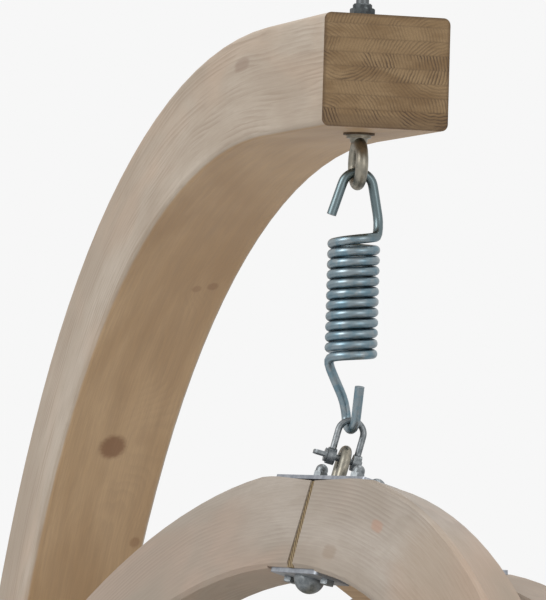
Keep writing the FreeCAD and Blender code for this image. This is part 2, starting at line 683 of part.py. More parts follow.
def crown_block():
    """Wedge that holds the rear hoop behind the front one, in the chair's own frame."""
    half = HOOP_DEPTH / 2.0
    top = -SEAT_FLAT
    corners = [in_plane(FRONT_LEAN, -half, top - 20.0), in_plane(FRONT_LEAN, -half, top - 63.0),
               REAR_APEX + in_plane(REAR_LEAN, half, -66.0), REAR_APEX + in_plane(REAR_LEAN, half, -6.0)]
    face = Part.Face(Part.makePolygon(corners + [corners[0]]))
    body = face.extrude(V(0, 68.0, 0))
    body.translate(V(0, -34.0, 0))
    rims = [e for e in body.Edges if e.Length > 80 and abs(e.Vertexes[0].Y - e.Vertexes[1].Y) < 1]
    body = body.makeFillet(5.0, rims)
    return moved(body, CHAIR).cut(compound(crown_dowel_list()))


def crown_dowel_list():
    """Hardwood dowels from the block into both hoops."""
    out = []
    for y in (-DOWEL_SPREAD, DOWEL_SPREAD):
        a = in_plane(FRONT_LEAN, -HOOP_DEPTH / 2.0 - 30.0, -SEAT_FLAT - 41.0) + V(0, y, 0)
        b = REAR_APEX + in_plane(REAR_LEAN, HOOP_DEPTH / 2.0 + 30.0, -36.0) + V(0, y, 0)
        n1 = in_plane(FRONT_LEAN, 1, 0)
        n2 = in_plane(REAR_LEAN, -1, 0)
        out.append(moved(rod(DOWEL, a, n1, 58.0), CHAIR))
        out.append(moved(rod(DOWEL, b, n2, 58.0), CHAIR))
    return out


def crown_milling(flat):
    """Tool for the crown's top: level under the plate's ends and falling a little to the seam."""
    reach = FRONT_OUTER / 2.0
    top = FRONT_OUTER + 20.0
    outline = [V(-50, -reach, flat), V(-50, -DIP_HALF, flat), V(-50, 0, flat - CROWN_DIP), V(-50, DIP_HALF, flat),
               V(-50, reach, flat), V(-50, reach, top), V(-50, -reach, top)]
    return Part.Face(Part.makePolygon(outline + [outline[0]])).extrude(V(100, 0, 0))


def packing_wedge(half, low, high):
    """Block between the two halves at the crown, wider at its foot."""
    thick = HOOP_THICK - CROWN_FLAT - CROWN_DIP
    wide = PACKING_LOW / 2.0
    narrow = wide - (PACKING_LOW - PACKING_TOP) / 2.0 * (high - low) / thick
    outline = [V(-half, -wide, low), V(-half, wide, low), V(-half, narrow, high), V(-half, -narrow, high)]
    return Part.Face(Part.makePolygon(outline + [outline[0]])).extrude(V(2.0 * half, 0, 0))


def hoop_halves(outer, frame, is_front):
    body = full_hoop(outer)
    body = body.cut(splice_seats(outer, -1))
    if is_front:
        flat = outer - CROWN_FLAT
        inner = outer - HOOP_THICK
        body = body.cut(crown_milling(flat))
        body = body.cut(block(-50, 50, -RECESS, RECESS, inner - 20, inner))
        body = body.cut(rod(SHANK_BORE, V(0, 0, inner - 20), UP, 140))
        for y in (-BOLT_SPREAD, BOLT_SPREAD):
            body = body.cut(rod(CROWN_BORE, V(0, y, inner - 20), UP, 140))
        for y in (-SCREW_SPREAD, SCREW_SPREAD):
            body = body.cut(rod(PLATE_SCREW, V(0, y, flat - PLATE_SCREW_REACH), UP, 60))
        body = body.cut(packing_wedge(50.0, inner, outer + 30.0))
    else:
        body = body.cut(splice_seats(outer, 1))
    body = moved(body, frame)
    tools = [spreader(1), spreader(-1)] + crown_dowel_list()
    tools += [spreader_screw(is_front, 1), spreader_screw(is_front, -1)]
    body = body.cut(tools)
    halves = []
    for side in (-1, 1):
        room = block(-60, 60, 0, 700, -700, 700) if side > 0 else block(-60, 60, -700, 0, -700, 700)
        halves.append(body.common(moved(room, frame)).removeSplitter())
    return halves


def crown_packing():
    inner = FRONT_OUTER - HOOP_THICK
    strip = packing_wedge(HOOP_DEPTH / 2.0 - 1.2, inner, FRONT_OUTER - CROWN_FLAT - CROWN_DIP)
    return moved(strip.cut(rod(SHANK_BORE, V(0, 0, inner - 1), UP, 100)), FRONT_FRAME)


# ---------------------------------------------------------------- crown hardware (crown frame: Z = lean)
CROWN_FRAME = CHAIR.multiply(FreeCAD.Placement(V(0, 0, 0), FreeCAD.Rotation(ACROSS, FRONT_LEAN)))
CLAMP_LOW = -SEAT_FLAT - (HOOP_THICK - CROWN_FLAT)


def crown_top_plate():
    length, width, thick = TOP_PLATE
    plate = block(-width / 2.0, width / 2.0, -length / 2.0, length / 2.0, -thick, 0)
    upright = [e for e in plate.Edges if abs(e.Vertexes[0].Z - e.Vertexes[1].Z) > 1]
    plate = plate.makeFillet(3.0, upright)
    plate = plate.cut(rod(SHANK_BORE, V(0, 0, -9), UP, 18))
    for y in (-BOLT_SPREAD, BOLT_SPREAD):
        plate = plate.cut(rod(CROWN_BORE, V(0, y, -9), UP, 18))
    for y in (-SCREW_SPREAD, SCREW_SPREAD):
        plate = plate.cut(rod(PLATE_SCREW, V(0, y, -9), UP, 18))
    return moved(plate, CROWN_FRAME)


def crown_bottom_plate():
    plate = clamp_plate(CLAMP_LOW - CLAMP_PLATE[2])
    return moved(plate.cut(rod(SHANK_BORE, V(0, 0, CLAMP_LOW - 9), UP, 18)), CROWN_FRAME)


def chair_eye():
    """Ring eye: the ring's plane is square to the shackle pin."""
    ring = Part.makeTorus(RING_EYE_MEAN, RING_EYE_WIRE / 2.0, V(0, 0, RING_EYE_RISE), ALONG)
    collar = turned([(0, 0), (6.6, 0), (6.6, 1.2), (5.2, 2.6), (0, 2.6)])
    low = CLAMP_LOW - CLAMP_PLATE[2] - 6.0
    shank = rod(CROWN_SHANK, V(0, 0, low), UP, 2.0 - low)
    return moved(ring.fuse([collar, shank]).removeSplitter(), frame_to(CROWN, PIN, LEAN))


def crown_dome_nut():
    base = CLAMP_LOW - CLAMP_PLATE[2]
    rim = 1.4
    head = dome(DOME_RADIUS, DOME_RADIUS - rim).fuse(rod(DOME_RADIUS, V(0, 0, -rim), UP, rim))
    head.translate(V(0, 0, rim))
    head = head.cut(rod(CROWN_SHANK, V(0, 0, -1), UP, 7.0)).removeSplitter()
    return moved(moved(head, frame_to(V(0, 0, base), ALONG, V(0, 0, -1))), CROWN_FRAME)


def crown_bolts():
    out = []
    base = CLAMP_LOW - CLAMP_PLATE[2]
    for y in (-BOLT_SPREAD, BOLT_SPREAD):
        bolt = hex_bolt(CROWN_NUT_AF, CROWN_HEAD, CROWN_BOLT, -base + CROWN_WASHER[1] + 8.0)
        out.append(moved(moved(bolt, frame_to(V(0, y, base), ALONG, V(0, 0, -1))), CROWN_FRAME))
    return compound(out)


def crown_washers():
    washer = ring_washer(CROWN_WASHER[0], CROWN_BOLT + 2.0 * BOLT_FIT, CROWN_WASHER[1])
    return compound([moved(moved(washer, FreeCAD.Placement(V(0, y, 0), FreeCAD.Rotation())), CROWN_FRAME)
                     for y in (-BOLT_SPREAD, BOLT_SPREAD)])


def crown_cap_nuts():
    nut = cap_nut(CROWN_NUT_AF, CROWN_BOLT)
    return compound([moved(moved(nut, FreeCAD.Placement(V(0, y, CROWN_WASHER[1]), FreeCAD.Rotation())), CROWN_FRAME)
                     for y in (-BOLT_SPREAD, BOLT_SPREAD)])


def crown_plate_screws():
    length = SEAT_FLAT + PLATE_SCREW_REACH - 3.0
    screw = dome(5.6, 2.9).fuse(rod(PLATE_SCREW, V(0, 0, -length), UP, length)).removeSplitter()
    screw = screw.cut(block(-0.5, 0.5, -6, 6, 1.9, 4))
    return compound([moved(moved(screw, FreeCAD.Placement(V(0, y, 0), FreeCAD.Rotation())), CROWN_FRAME)
                     for y in (-SCREW_SPREAD, SCREW_SPREAD)])


# ---------------------------------------------------------------- seat (chair's own frame unless said)
def hem_point(outer, centre, lean_deg, angle, depth, forward):
    """Point on a hoop's inner face: angle from the bottom, depth in from the face, forward along its axis."""
    radius = outer - HOOP_THICK - depth
    side = radius * math.sin(angle)
    return centre + in_plane(lean_deg, forward, -radius * math.cos(angle)) + V(0, side, 0)


def sling_line(angle, depth, steps, first, last):
    """Points across the sling at one angle, front to rear, `depth` inside its outer face."""
    front = hem_point(FRONT_OUTER, FRONT_CENTRE, FRONT_LEAN, angle, HEM_GAP + depth, -HEM_EDGE)
    rear = hem_point(REAR_OUTER, REAR_CENTRE, REAR_LEAN, angle, HEM_GAP + depth, HEM_EDGE)
    out = V(0, math.sin(angle), -math.cos(angle))
    sag = SLING_SAG * max(0.1, math.cos(angle * 0.86)) ** 2
    points = []
    for k in range(steps + 1):
        share = first + (last - first) * k / steps
        points.append(front + (rear - front) * share + out * (4.0 * sag * share * (1.0 - share)))
    return points


def triangle(a, b, c):
    return Part.Face(Part.makePolygon([a, b, c, a]))


def closed_loft(outlines):
    """Solid through outlines that each run along one face of a pad and back along the other."""
    count = len(outlines[0])
    faces = []
    for outline in (outlines[0], outlines[-1]):
        for k in range(count // 2 - 1):
            faces.append(triangle(outline[k], outline[k + 1], outline[-2 - k]))
            faces.append(triangle(outline[k], outline[-2 - k], outline[-1 - k]))
    for a, b in zip(outlines[:-1], outlines[1:]):
        for k in range(count):
            j = (k + 1) % count
            faces.append(triangle(a[k], a[j], b[j]))
            faces.append(triangle(a[k], b[j], b[k]))
    shell = Part.Shell(faces)
    solid = Part.Solid(shell)
    if solid.Volume < 0:
        solid.reverse()
    return solid


def sling_outline(angle):
    """Corners of the sling's cloth at one angle from the bottom: outer face, then inner face."""
    sides = []
    for depth in (0.0, SLING_THICK):
        hem_a = hem_point(FRONT_OUTER, FRONT_CENTRE, FRONT_LEAN, angle, HEM_GAP + depth, HEM_FRONT)
        hem_b = hem_point(REAR_OUTER, REAR_CENTRE, REAR_LEAN, angle, HEM_GAP + depth, HEM_REAR)
        sides.append([hem_a] + sling_line(angle, depth, SLING_STEPS, 0.0, 1.0) + [hem_b])
    return sides[0] + list(reversed(sides[1]))


def strip_spots():
    """Angles of the screws along the clamp strips."""
    reach = SLING_SPAN - 6.0
    return [math.radians(reach * (2.0 * k / (STRIP_SCREWS - 1) - 1.0)) for k in range(STRIP_SCREWS)]


def strip_screw_tool(frame, outer, angle, forward):
    start = V(forward, 0, 0) + V(0, math.sin(angle), -math.cos(angle)) * (outer - HOOP_THICK - 12.0)
    return moved(rod(STRIP_SCREW, start, V(0, math.sin(angle), -math.cos(angle)), 32.0), frame)


def strip_tools(where):
    frame, outer = (FRONT_FRAME, FRONT_OUTER) if where == "front" else (REAR_FRAME, REAR_OUTER)
    return [strip_screw_tool(frame, outer, a, STRIP_FORWARD[where]) for a in strip_spots()]


def seat_sling():
    outlines = []
    for k in range(SLING_ROWS + 1):
        angle = math.radians(-SLING_SPAN + 2 * SLING_SPAN * k / SLING_ROWS)
        outlines.append(sling_outline(angle))
    body = moved(closed_loft(outlines), CHAIR)
    return body.cut(strip_tools("front") + strip_tools("rear"))


def arc_band(frame, radius, thick, x0, x1, span):
    """Curved flat strip inside a hoop, centred on its bottom."""
    a = math.radians(span)
    ring = rod(radius, V(x0, 0, 0), ALONG, x1 - x0).cut(rod(radius - thick, V(x0, 0, 0), ALONG, x1 - x0))
    far = radius * 3.0
    wedge = [V(x0, 0, 0), V(x0, far * math.sin(a), -far * math.cos(a)), V(x0, far, far), V(x0, -far, far),
             V(x0, -far * math.sin(a), -far * math.cos(a))]
    away = Part.Face(Part.makePolygon(wedge + [wedge[0]])).extrude(V(x1 - x0, 0, 0))
    return moved(ring.cut(away), frame)


def clamp_strip(where):
    frame, outer = (FRONT_FRAME, FRONT_OUTER) if where == "front" else (REAR_FRAME, REAR_OUTER)
    forward = STRIP_FORWARD[where]
    radius = outer - HOOP_THICK - 2.0 * HEM_GAP - SLING_THICK
    half = STRIP_WIDTH / 2.0
    band = arc_band(frame, radius, STRIP_THICK, forward - half, forward + half, SLING_SPAN - 2.0)
    return band.cut(strip_tools(where))


def strip_screws():
    out = []
    for where in ("front", "rear"):
        frame, outer = (FRONT_FRAME, FRONT_OUTER) if where == "front" else (REAR_FRAME, REAR_OUTER)
        radius = outer - HOOP_THICK - 2.0 * HEM_GAP - SLING_THICK - STRIP_THICK
        screw = dome(3.6, 1.7).fuse(rod(STRIP_SCREW - BOLT_FIT, V(0, 0, -17.5), UP, 17.5)).removeSplitter()
        for angle in strip_spots():
            away = V(0, math.sin(angle), -math.cos(angle))
            seat = away * radius + V(STRIP_FORWARD[where], 0, 0)
            out.append(moved(moved(screw, frame_to(seat, ALONG, away * -1.0)), frame))
    return compound(out)


PANEL_RIM = REAR_OUTER - HOOP_THICK - HEM_GAP


def panel_x(radius):
    """Depth of the back panel's front face at a distance from the rear hoop's middle."""
    share = radius / PANEL_RIM
    return PANEL_EDGE - PANEL_BULGE * (1.0 - share * share)


def back_panel():
    """Dished cloth panel, sewn into the rear hoop and cut off level at its top hem."""
    steps = 8
    front = [V(panel_x(PANEL_RIM * k / steps), 0, PANEL_RIM * k / steps) for k in range(steps + 1)]
    rear = [p - V(PANEL_THICK, 0, 0) for p in reversed(front)]
    dish = Part.Face(Part.makePolygon(front + rear + [front[0]])).revolve(V(0, 0, 0), ALONG, 360)
    dish = dish.cut(block(-200, 200, -600, 600, PANEL_CUT, 600))
    return moved(dish, REAR_FRAME)


def back_cushion():
    """Round pad that lies against the back panel."""
    steps = 6
    radii = [BACK_CUSHION * k / steps for k in range(steps + 1)]
    rear = [V(panel_x(r) + CUSHION_GAP, 0, r) for r in radii]
    rim = rear[-1]
    crown = rim.x + BACK_CUSHION_THICK
    front = [V(rim.x + 14.0, 0, BACK_CUSHION + 9.0), V(rim.x + 36.0, 0, BACK_CUSHION + 10.0),
             V(crown - 22.0, 0, BACK_CUSHION - 6.0), V(crown - 10.0, 0, BACK_CUSHION - 32.0),
             V(crown - 2.0, 0, BACK_CUSHION * 0.66), V(crown, 0, BACK_CUSHION * 0.3), V(crown - 2.0, 0, 0)]
    pad = Part.Face(Part.makePolygon(rear + front + [rear[0]])).revolve(V(0, 0, 0), ALONG, 360)
    return moved(pad, REAR_FRAME)


def cushion_outline(angle, thick):
    """Corners of the seat cushion at one angle from the bottom."""
    low = sling_line(angle, SLING_THICK + CUSHION_GAP, CUSHION_STEPS, 0.05, 0.86)
    inward = V(0, -math.sin(angle), math.cos(angle))
    high = []
    for k, point in enumerate(low):
        share = k / CUSHION_STEPS
        swell = (4.0 * share * (1.0 - share)) ** 0.3
        high.append(point + inward * (CUSHION_EDGE + (thick - CUSHION_EDGE) * swell))
    return low + list(reversed(high))


def seat_cushion():
    outlines = []
    for k in range(CUSHION_ROWS + 1):
        share = 2.0 * k / CUSHION_ROWS - 1.0
        scale = 0.2 + 0.84 * (1.0 - abs(share) ** 3.5) ** 0.6
        outlines.append(cushion_outline(math.radians(CUSHION_REACH * share), CUSHION_THICK * scale))
    return moved(closed_loft(outlines), CHAIR)


def all_splices():
    """Plates, bolts and nuts of the three clamped hoop joints away from the crown."""
    plates, bolts, nuts = [], [], []
    for outer, end, frame in ((FRONT_OUTER, -1, FRONT_FRAME), (REAR_OUTER, 1, REAR_FRAME), (REAR_OUTER, -1, REAR_FRAME)):
        groups = splice_parts(outer, end, frame)
        plates += groups[0]
        bolts += groups[1]
        nuts += groups[2]
    return compound(plates), compound(bolts), compound(nuts)


def drilled(halves, where):
    return [half.cut(strip_tools(where)) for half in halves]


if __name__ == "__main__":
    save("stand_arm", stand_arm())
    save("keel_beam", keel_beam())
    save("cross_beam", cross_beam())
    save("foot_plate_left", foot_plate(1))
    save("foot_plate_right", foot_plate(-1))
    save("foot_bolts", foot_bolts())
    save("foot_cap_nuts", foot_cap_nuts())
    lap_length = BEAM_HEIGHT - LAP_SINK + LAP_WASHER + NUT_GRIP
    lap = hex_bolt(NUT_AF, FRAME_HEAD, FRAME_BOLT, lap_length)
    save("lap_bolt", moved(lap, frame_to(V(0, 0, GLIDE_HEIGHT + LAP_SINK), ALONG, V(0, 0, -1))))
    washer = ring_washer(FRAME_WASHER, FRAME_BOLT + 0.4, LAP_WASHER)
    save("lap_washer", moved(washer, frame_to(V(0, 0, BASE_TOP), ALONG, UP)))
    save("lap_nut", moved(cap_nut(NUT_AF, FRAME_BOLT), frame_to(V(0, 0, BASE_TOP + LAP_WASHER), ALONG, UP)))
    save("floor_glides", compound([floor_glide(x, y) for x, y in glide_spots()]))
    save("centre_foot", centre_foot())
    save("glide_screws", compound([glide_screw(x, y) for x, y in glide_spots()]))
    save("eye_bolt", eye_bolt())
    save("eye_washers", eye_washers())
    save("eye_lock_nut", eye_lock_nut())
    save("lock_nut_insert", lock_nut_insert())
    save("tension_spring", tension_spring())
    save("shackle_bow", shackle_bow())
    save("shackle_pin", shackle_pin())
    save("chair_eye", chair_eye())
    save("crown_top_plate", crown_top_plate())
    save("crown_bottom_plate", crown_bottom_plate())
    save("crown_bolts", crown_bolts())
    save("crown_washers", crown_washers())
    save("crown_cap_nuts", crown_cap_nuts())
    save("crown_plate_screws", crown_plate_screws())
    save("crown_dome_nut", crown_dome_nut())
    save("crown_packing", crown_packing())
    front = drilled(hoop_halves(FRONT_OUTER, FRONT_FRAME, True), "front")
    rear = drilled(hoop_halves(REAR_OUTER, REAR_FRAME, False), "rear")
    for name, halves in (("front_hoop", front), ("rear_hoop", rear)):
        save(name + "_right", halves[0])
        save(name + "_left", halves[1])
    plates, bolts, nuts = all_splices()
    save("splice_plates", plates)
    save("splice_bolts", bolts)
    save("splice_nuts", nuts)
    save("crown_block", crown_block())
    save("crown_dowels", compound(crown_dowel_list()))
    save("spreader_left", spreader(1))
    save("spreader_right", spreader(-1))
    save("spreader_screws", compound([spreader_screw(f, s) for f in (True, False) for s in (1, -1)]))
    save("seat_sling", seat_sling())
    save("back_panel", back_panel())
    save("front_clamp_strip", clamp_strip("front"))
    save("rear_clamp_strip", clamp_strip("rear"))
    save("strip_screws", strip_screws())
    save("seat_cushion", seat_cushion())
    save("back_cushion", back_cushion())
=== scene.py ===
import math

import bpy
from mathutils import Matrix, Vector


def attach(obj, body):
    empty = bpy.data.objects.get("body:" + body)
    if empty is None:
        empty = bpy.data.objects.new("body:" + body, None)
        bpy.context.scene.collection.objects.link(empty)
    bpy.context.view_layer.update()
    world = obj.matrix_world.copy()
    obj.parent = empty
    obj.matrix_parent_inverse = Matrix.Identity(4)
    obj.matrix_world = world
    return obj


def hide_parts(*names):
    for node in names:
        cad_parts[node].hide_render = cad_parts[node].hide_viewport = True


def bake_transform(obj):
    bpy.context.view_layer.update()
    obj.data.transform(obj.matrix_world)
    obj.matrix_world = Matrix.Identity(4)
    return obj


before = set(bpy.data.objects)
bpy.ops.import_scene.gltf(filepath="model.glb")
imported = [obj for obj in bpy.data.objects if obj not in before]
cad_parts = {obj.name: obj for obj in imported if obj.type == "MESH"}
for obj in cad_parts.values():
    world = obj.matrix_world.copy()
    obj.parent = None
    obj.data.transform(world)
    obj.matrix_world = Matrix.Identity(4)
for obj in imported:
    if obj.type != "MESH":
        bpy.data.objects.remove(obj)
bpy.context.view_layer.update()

# Sizes are in metres and angles in degrees, unless a line says otherwise. X points from the arm's foot to
# its tip, Y to the left of that and Z up, and the eye bolt's axis is at X = Y = 0.

# ---------------------------------------------------------------- the stand's arm, from its sawn tip
TIP_REACH = 0.060
TIP_HEIGHT = 1.870
ARM_WIDTH = 0.100
ARM_DEPTH = 0.0855
ARM_STRAIGHT = 0.149
ARM_BENDS = [(0.784, 48.5), (1.010, 41.5), (1.300, 48.0)]  # radius and turn
ARM_LAMELLA = 0.0107
ABOVE_ARM = 1.890  # fittings on the arm's tip lie above this height, those under it below
ARM_UNDERSIDE = (-0.0426, -0.0412)  # outward distances between which the underside's colour, partly painted warm shade, fades out
BEAM_LAMELLA = 0.0400
ONE_LAYER = 1.0  # thicker than any piece
LAYERS_START = 0.5  # how far inside a timber's line its layers are counted from

# ---------------------------------------------------------------- timber's growth, in each layer
PITH_SPREAD = 0.050  # how far apart the layers' piths lie, sideways
PITH_DEPTH = 0.028  # least distance of a pith below its layer
PITH_DEPTH_MORE = 0.030  # the most that chance adds to it
END_PITH_SIDE = 0.022
END_PITH_SIDE_MORE = 0.045
END_PITH_DEPTH = 0.020
END_PITH_DEPTH_MORE = 0.016
END_RING = 0.0025
END_SLICE = 0.0008  # how far from the tip its sawn look reaches
SECOND_DRAW = 37.0  # added to a layer's number for another random number of its own
THIRD_DRAW = 11.0

# ---------------------------------------------------------------- the chair, from its crown
CROWN = Vector((0.00163, -0.01043, 1.56178))
CHAIR_YAW = -81.1
FRONT_LEAN = -16.0
REAR_LEAN = 3.2
HOOP_THICK = 0.078
FRONT_OUTER = 0.565
REAR_OUTER = 0.515
FRONT_TOP = 0.0045
REAR_SETBACK = 0.129
REAR_DROP = 0.037

# ---------------------------------------------------------------- cloth and cushions
HEM_GAP = 0.0003
CLOTH_THICK = 0.0016
SLING_THICK = 0.0022
SLING_SPAN = 108.0
SLING_SAG = 0.050
SLING_BULGE = 0.0014
SLING_RIPPLE = 0.0012
SLING_FOLD = 0.0010
SLING_FOLD_TURNS = 41.0  # waves of the folds round the hoops, in radians per radian
SLING_ROWS = 145
SLING_STEPS = 18
HEM_FORWARD = 0.0165  # from a hoop's middle to where the free cloth starts
FRONT_LAP = 0.014
REAR_LAP = -0.002
BACK_TOP = 0.235
BACK_ROWS = 41
BACK_COLUMNS = 33
BACK_SET = 0.006
BACK_DISH = 0.062
PRESSURE = 4.0
FILL_STEPS = 20
FREE_SHRINK = 0.006  # how far a cushion's skin is drawn in before it is blown up
RESTING_SHRINK = 0.0005
RESTING_MOVE = 0.0004
SEAT_CHANNEL = 25.0  # from one sewn channel to the next, round the hoops
SEAT_CHANNEL_REACH = 63.0
SEAT_CHANNEL_DEPTH = 0.013
SEAT_CHANNEL_WIDTH = 0.012
SEAT_RADIUS = 0.45
SEAT_FACING = 0.55  # cosine from which the skin counts as facing what the cushion rests on
BACK_CHANNEL = 0.092  # from the back cushion's middle
BACK_CHANNEL_DEPTH = 0.012
BACK_CHANNEL_WIDTH = 0.014
BACK_FACING = 0.35
CUSHION_REACH = 56.0
SEAM_DEPTH = SLING_THICK + 0.009
SEAM_FRONT = 0.05  # shares of the way from the front hoop to the rear
SEAM_REAR = 0.86
BACK_SEAM = 0.285
PIPING_RADIUS = 0.0035

# ---------------------------------------------------------------- the tension spring
SPRING_YAW = -8.0
SPRING_WIRE = 0.0074
SPRING_MEAN = 0.0167
SPRING_TURNS = 11
COIL_SHIFT = -0.0016
COIL_TOP = 1.7432
COIL_LOW = 1.6563
END_PITCH = 0.014
TOP_ANGLE = 60.1  # round the coil, where the wire leaves it
LOW_ANGLE = -63.8
TOP_HOOK = Vector((0.0, 0.0, 1.7852))
TOP_MEAN = 0.0122
TOP_SPLAY = 18.0
TOP_TAIL = 0.0259
TOP_LEAN = 10.5
TOP_LIP = Vector((0.0, 0.0192, 1.7488))
LOW_HOOK = Vector((0.0, 0.0, 1.6122))
LOW_MEAN = 0.0106
LOW_YAW = 10.0
LOW_SPLAY = 14.0
LOW_TAIL = 0.025
LOW_KNEE = 0.007
LOW_LIP = Vector((0.0, -0.0204, 1.6540))
COIL_STEP = 15.0
HOOK_STEP = 12.0

# ---------------------------------------------------------------- the eye on the chair's crown
PIN_YAW = 9.0
EYE_WIRE = 0.0084
EYE_MEAN = 0.0100
EYE_RISE = 0.0143
EYE_STEPS = 24

# ---------------------------------------------------------------- view, light and floor
VIEW_PLACE = Vector((3.6016, -1.2353, 1.5638))
VIEW_YAW = 18.0
VIEW_PITCH = 0.035317  # radians
VIEW_ROLL = 0.028203  # radians
VIEW_LENS = 330.26  # millimetres
AMBIENT = 0.62
FLOOR_HALF = 9.0
FLOOR_DROP = 0.0004


# ---------------------------------------------------------------- small helpers
def add_object(name, data):
    piece = bpy.data.objects.new(name, data)
    bpy.context.scene.collection.objects.link(piece)
    return piece


def srgb(r, g, b):
    """Linear colour from 0 to 255 values as they look on screen."""
    out = []
    for value in (r, g, b):
        c = value / 255.0
        out.append(c / 12.92 if c <= 0.04045 else ((c + 0.055) / 1.055) ** 2.4)
    return tuple(out) + (1.0,)


def make_camera():
    """A long lens level with the chair's crown, looking slightly up."""
    yaw = math.radians(VIEW_YAW)
    right = Vector((math.sin(yaw), math.cos(yaw), 0.0))
    level = Vector((-math.cos(yaw), math.sin(yaw), 0.0))
    ahead = level * math.cos(VIEW_PITCH) + Vector((0, 0, math.sin(VIEW_PITCH)))
    above = Vector((0, 0, math.cos(VIEW_PITCH))) - level * math.sin(VIEW_PITCH)
    x_axis = right * math.cos(VIEW_ROLL) + above * math.sin(VIEW_ROLL)
    y_axis = above * math.cos(VIEW_ROLL) - right * math.sin(VIEW_ROLL)
    data = bpy.data.cameras.new("view")
    data.sensor_fit = "HORIZONTAL"
    data.sensor_width = 36.0
    data.lens = VIEW_LENS
    data.clip_start = 0.1
    data.clip_end = 60.0
    camera = add_object("view", data)
    placed = Matrix((x_axis, y_axis, -ahead)).transposed().to_4x4()
    placed.translation = VIEW_PLACE
    camera.matrix_world = placed
    bpy.context.scene.camera = camera


# ---------------------------------------------------------------- how materials are written
class Value:
    """What one node gives, so that a material's formulas read as they are written."""

    def __init__(self, graph, socket):
        self.graph = graph
        self.socket = socket

    def __add__(self, other):
        return self.graph.math("ADD", self, other)

    def __radd__(self, other):
        return self.graph.math("ADD", other, self)

    def __sub__(self, other):
        return self.graph.math("SUBTRACT", self, other)

    def __rsub__(self, other):
        return self.graph.math("SUBTRACT", other, self)

    def __mul__(self, other):
        return self.graph.math("MULTIPLY", self, other)

    def __truediv__(self, other):
        return self.graph.math("DIVIDE", self, other)

    def __gt__(self, other):
        return self.graph.math("GREATER_THAN", self, other)

    def __lt__(self, other):
        return self.graph.math("LESS_THAN", self, other)

    def __abs__(self):
        return self.graph.math("ABSOLUTE", self)


class Graph:
    """One material, with short calls for the nodes that it is made of."""

    def __init__(self, name):
        self.material = bpy.data.materials.new(name)
        self.material.use_nodes = True
        self.tree = self.material.node_tree
        self.tree.nodes.clear()
        self.shader = self.tree.nodes.new("ShaderNodeBsdfPrincipled")
        out = self.tree.nodes.new("ShaderNodeOutputMaterial")
        self.tree.links.new(self.shader.outputs[0], out.inputs[0])
        self.place = Value(self, self.tree.nodes.new("ShaderNodeTexCoord").outputs["Object"])

    def put(self, socket, value):
        if isinstance(value, Value):
            self.tree.links.new(value.socket, socket)
        else:
            socket.default_value = value

    def node(self, kind, *values):
        """A new node with its first inputs filled."""
        node = self.tree.nodes.new(kind)
        for socket, value in zip(node.inputs, values):
            self.put(socket, value)
        return node

    def math(self, operation, *values):
        node = self.node("ShaderNodeMath", *values)
        node.operation = operation
        return Value(self, node.outputs[0])

    def length(self, a, b):
        return self.math("SQRT", a * a + b * b)

    def less(self, a, b):
        """Vector a less vector b."""
        node = self.node("ShaderNodeVectorMath", a, b)
        node.operation = "SUBTRACT"
        return Value(self, node.outputs[0])

    def dot(self, a, b):
        node = self.node("ShaderNodeVectorMath", a, b)
        node.operation = "DOT_PRODUCT"
        return Value(self, node.outputs["Value"])

    def join(self, x, y, z):
        return Value(self, self.node("ShaderNodeCombineXYZ", x, y, z).outputs[0])

    def split(self, vector):
        return [Value(self, socket) for socket in self.node("ShaderNodeSeparateXYZ", vector).outputs]

    def noise(self, vector, scale, detail=3.0, rough=0.5, warp=0.0):
        node = self.node("ShaderNodeTexNoise", vector)
        for key, value in (("Scale", scale), ("Detail", detail), ("Roughness", rough), ("Distortion", warp)):
            self.put(node.inputs[key], value)
        return Value(self, node.outputs["Fac"])

    def chance(self, value):
        """A number from 0 to 1 that is always the same for the same value."""
        node = self.tree.nodes.new("ShaderNodeTexWhiteNoise")
        node.noise_dimensions = "1D"
        self.put(node.inputs["W"], value)
        return Value(self, node.outputs["Value"])

    def band(self, value, low, high, to_low=0.0, to_high=1.0):
        """Smooth step from to_low at low to to_high at high."""
        node = self.node("ShaderNodeMapRange", value, low, high, to_low, to_high)
        node.interpolation_type = "SMOOTHSTEP"
        return Value(self, node.outputs[0])

    def mix(self, share, a, b):
        """Colour a, with a share of colour b over it."""
        node = self.tree.nodes.new("ShaderNodeMix")
        node.data_type = "RGBA"
        for index, value in ((0, share), (6, a), (7, b)):
            self.put(node.inputs[index], value)
        return Value(self, node.outputs[2])

    def bump(self, height, distance, strength):
        node = self.tree.nodes.new("ShaderNodeBump")
        for key, value in (("Strength", strength), ("Distance", distance), ("Height", height)):
            self.put(node.inputs[key], value)
        self.tree.links.new(node.outputs[0], self.shader.inputs["Normal"])

    def set(self, **values):
        names = {"colour": "Base Color", "rough": "Roughness", "metal": "Metallic", "coat": "Coat Weight",
                 "coat_rough": "Coat Roughness", "sheen": "Sheen Weight", "specular": "Specular IOR Level"}
        for key, value in values.items():
            self.put(self.shader.inputs[names[key]], value)


# ---------------------------------------------------------------- the way the grain runs
def arm_run(g):
    """Along, across and outward distances in the bent arm, from the tip."""
    x, y, z = g.split(g.place)
    along = TIP_REACH - x
    out = z - TIP_HEIGHT
    heading = 0.0
    length = ARM_STRAIGHT
    middle = Vector((TIP_REACH - ARM_STRAIGHT, 0.0, TIP_HEIGHT))
    for radius, turn in ARM_BENDS:
        inward = Vector((math.sin(heading), 0.0, -math.cos(heading)))
        centre = middle + inward * radius
        dx = centre.x - x
        dz = z - centre.z
        gone = g.math("ARCTAN2", dx, dz) - heading
        inside = gone > 0.0
        along = along + inside * (gone * radius + length - along)
        out = out + inside * (g.length(dx, dz) - radius - out)
        length += radius * math.radians(turn)
        heading += math.radians(turn)
        middle = centre + Vector((-math.sin(heading), 0.0, math.cos(heading))) * radius
    return along, y, out


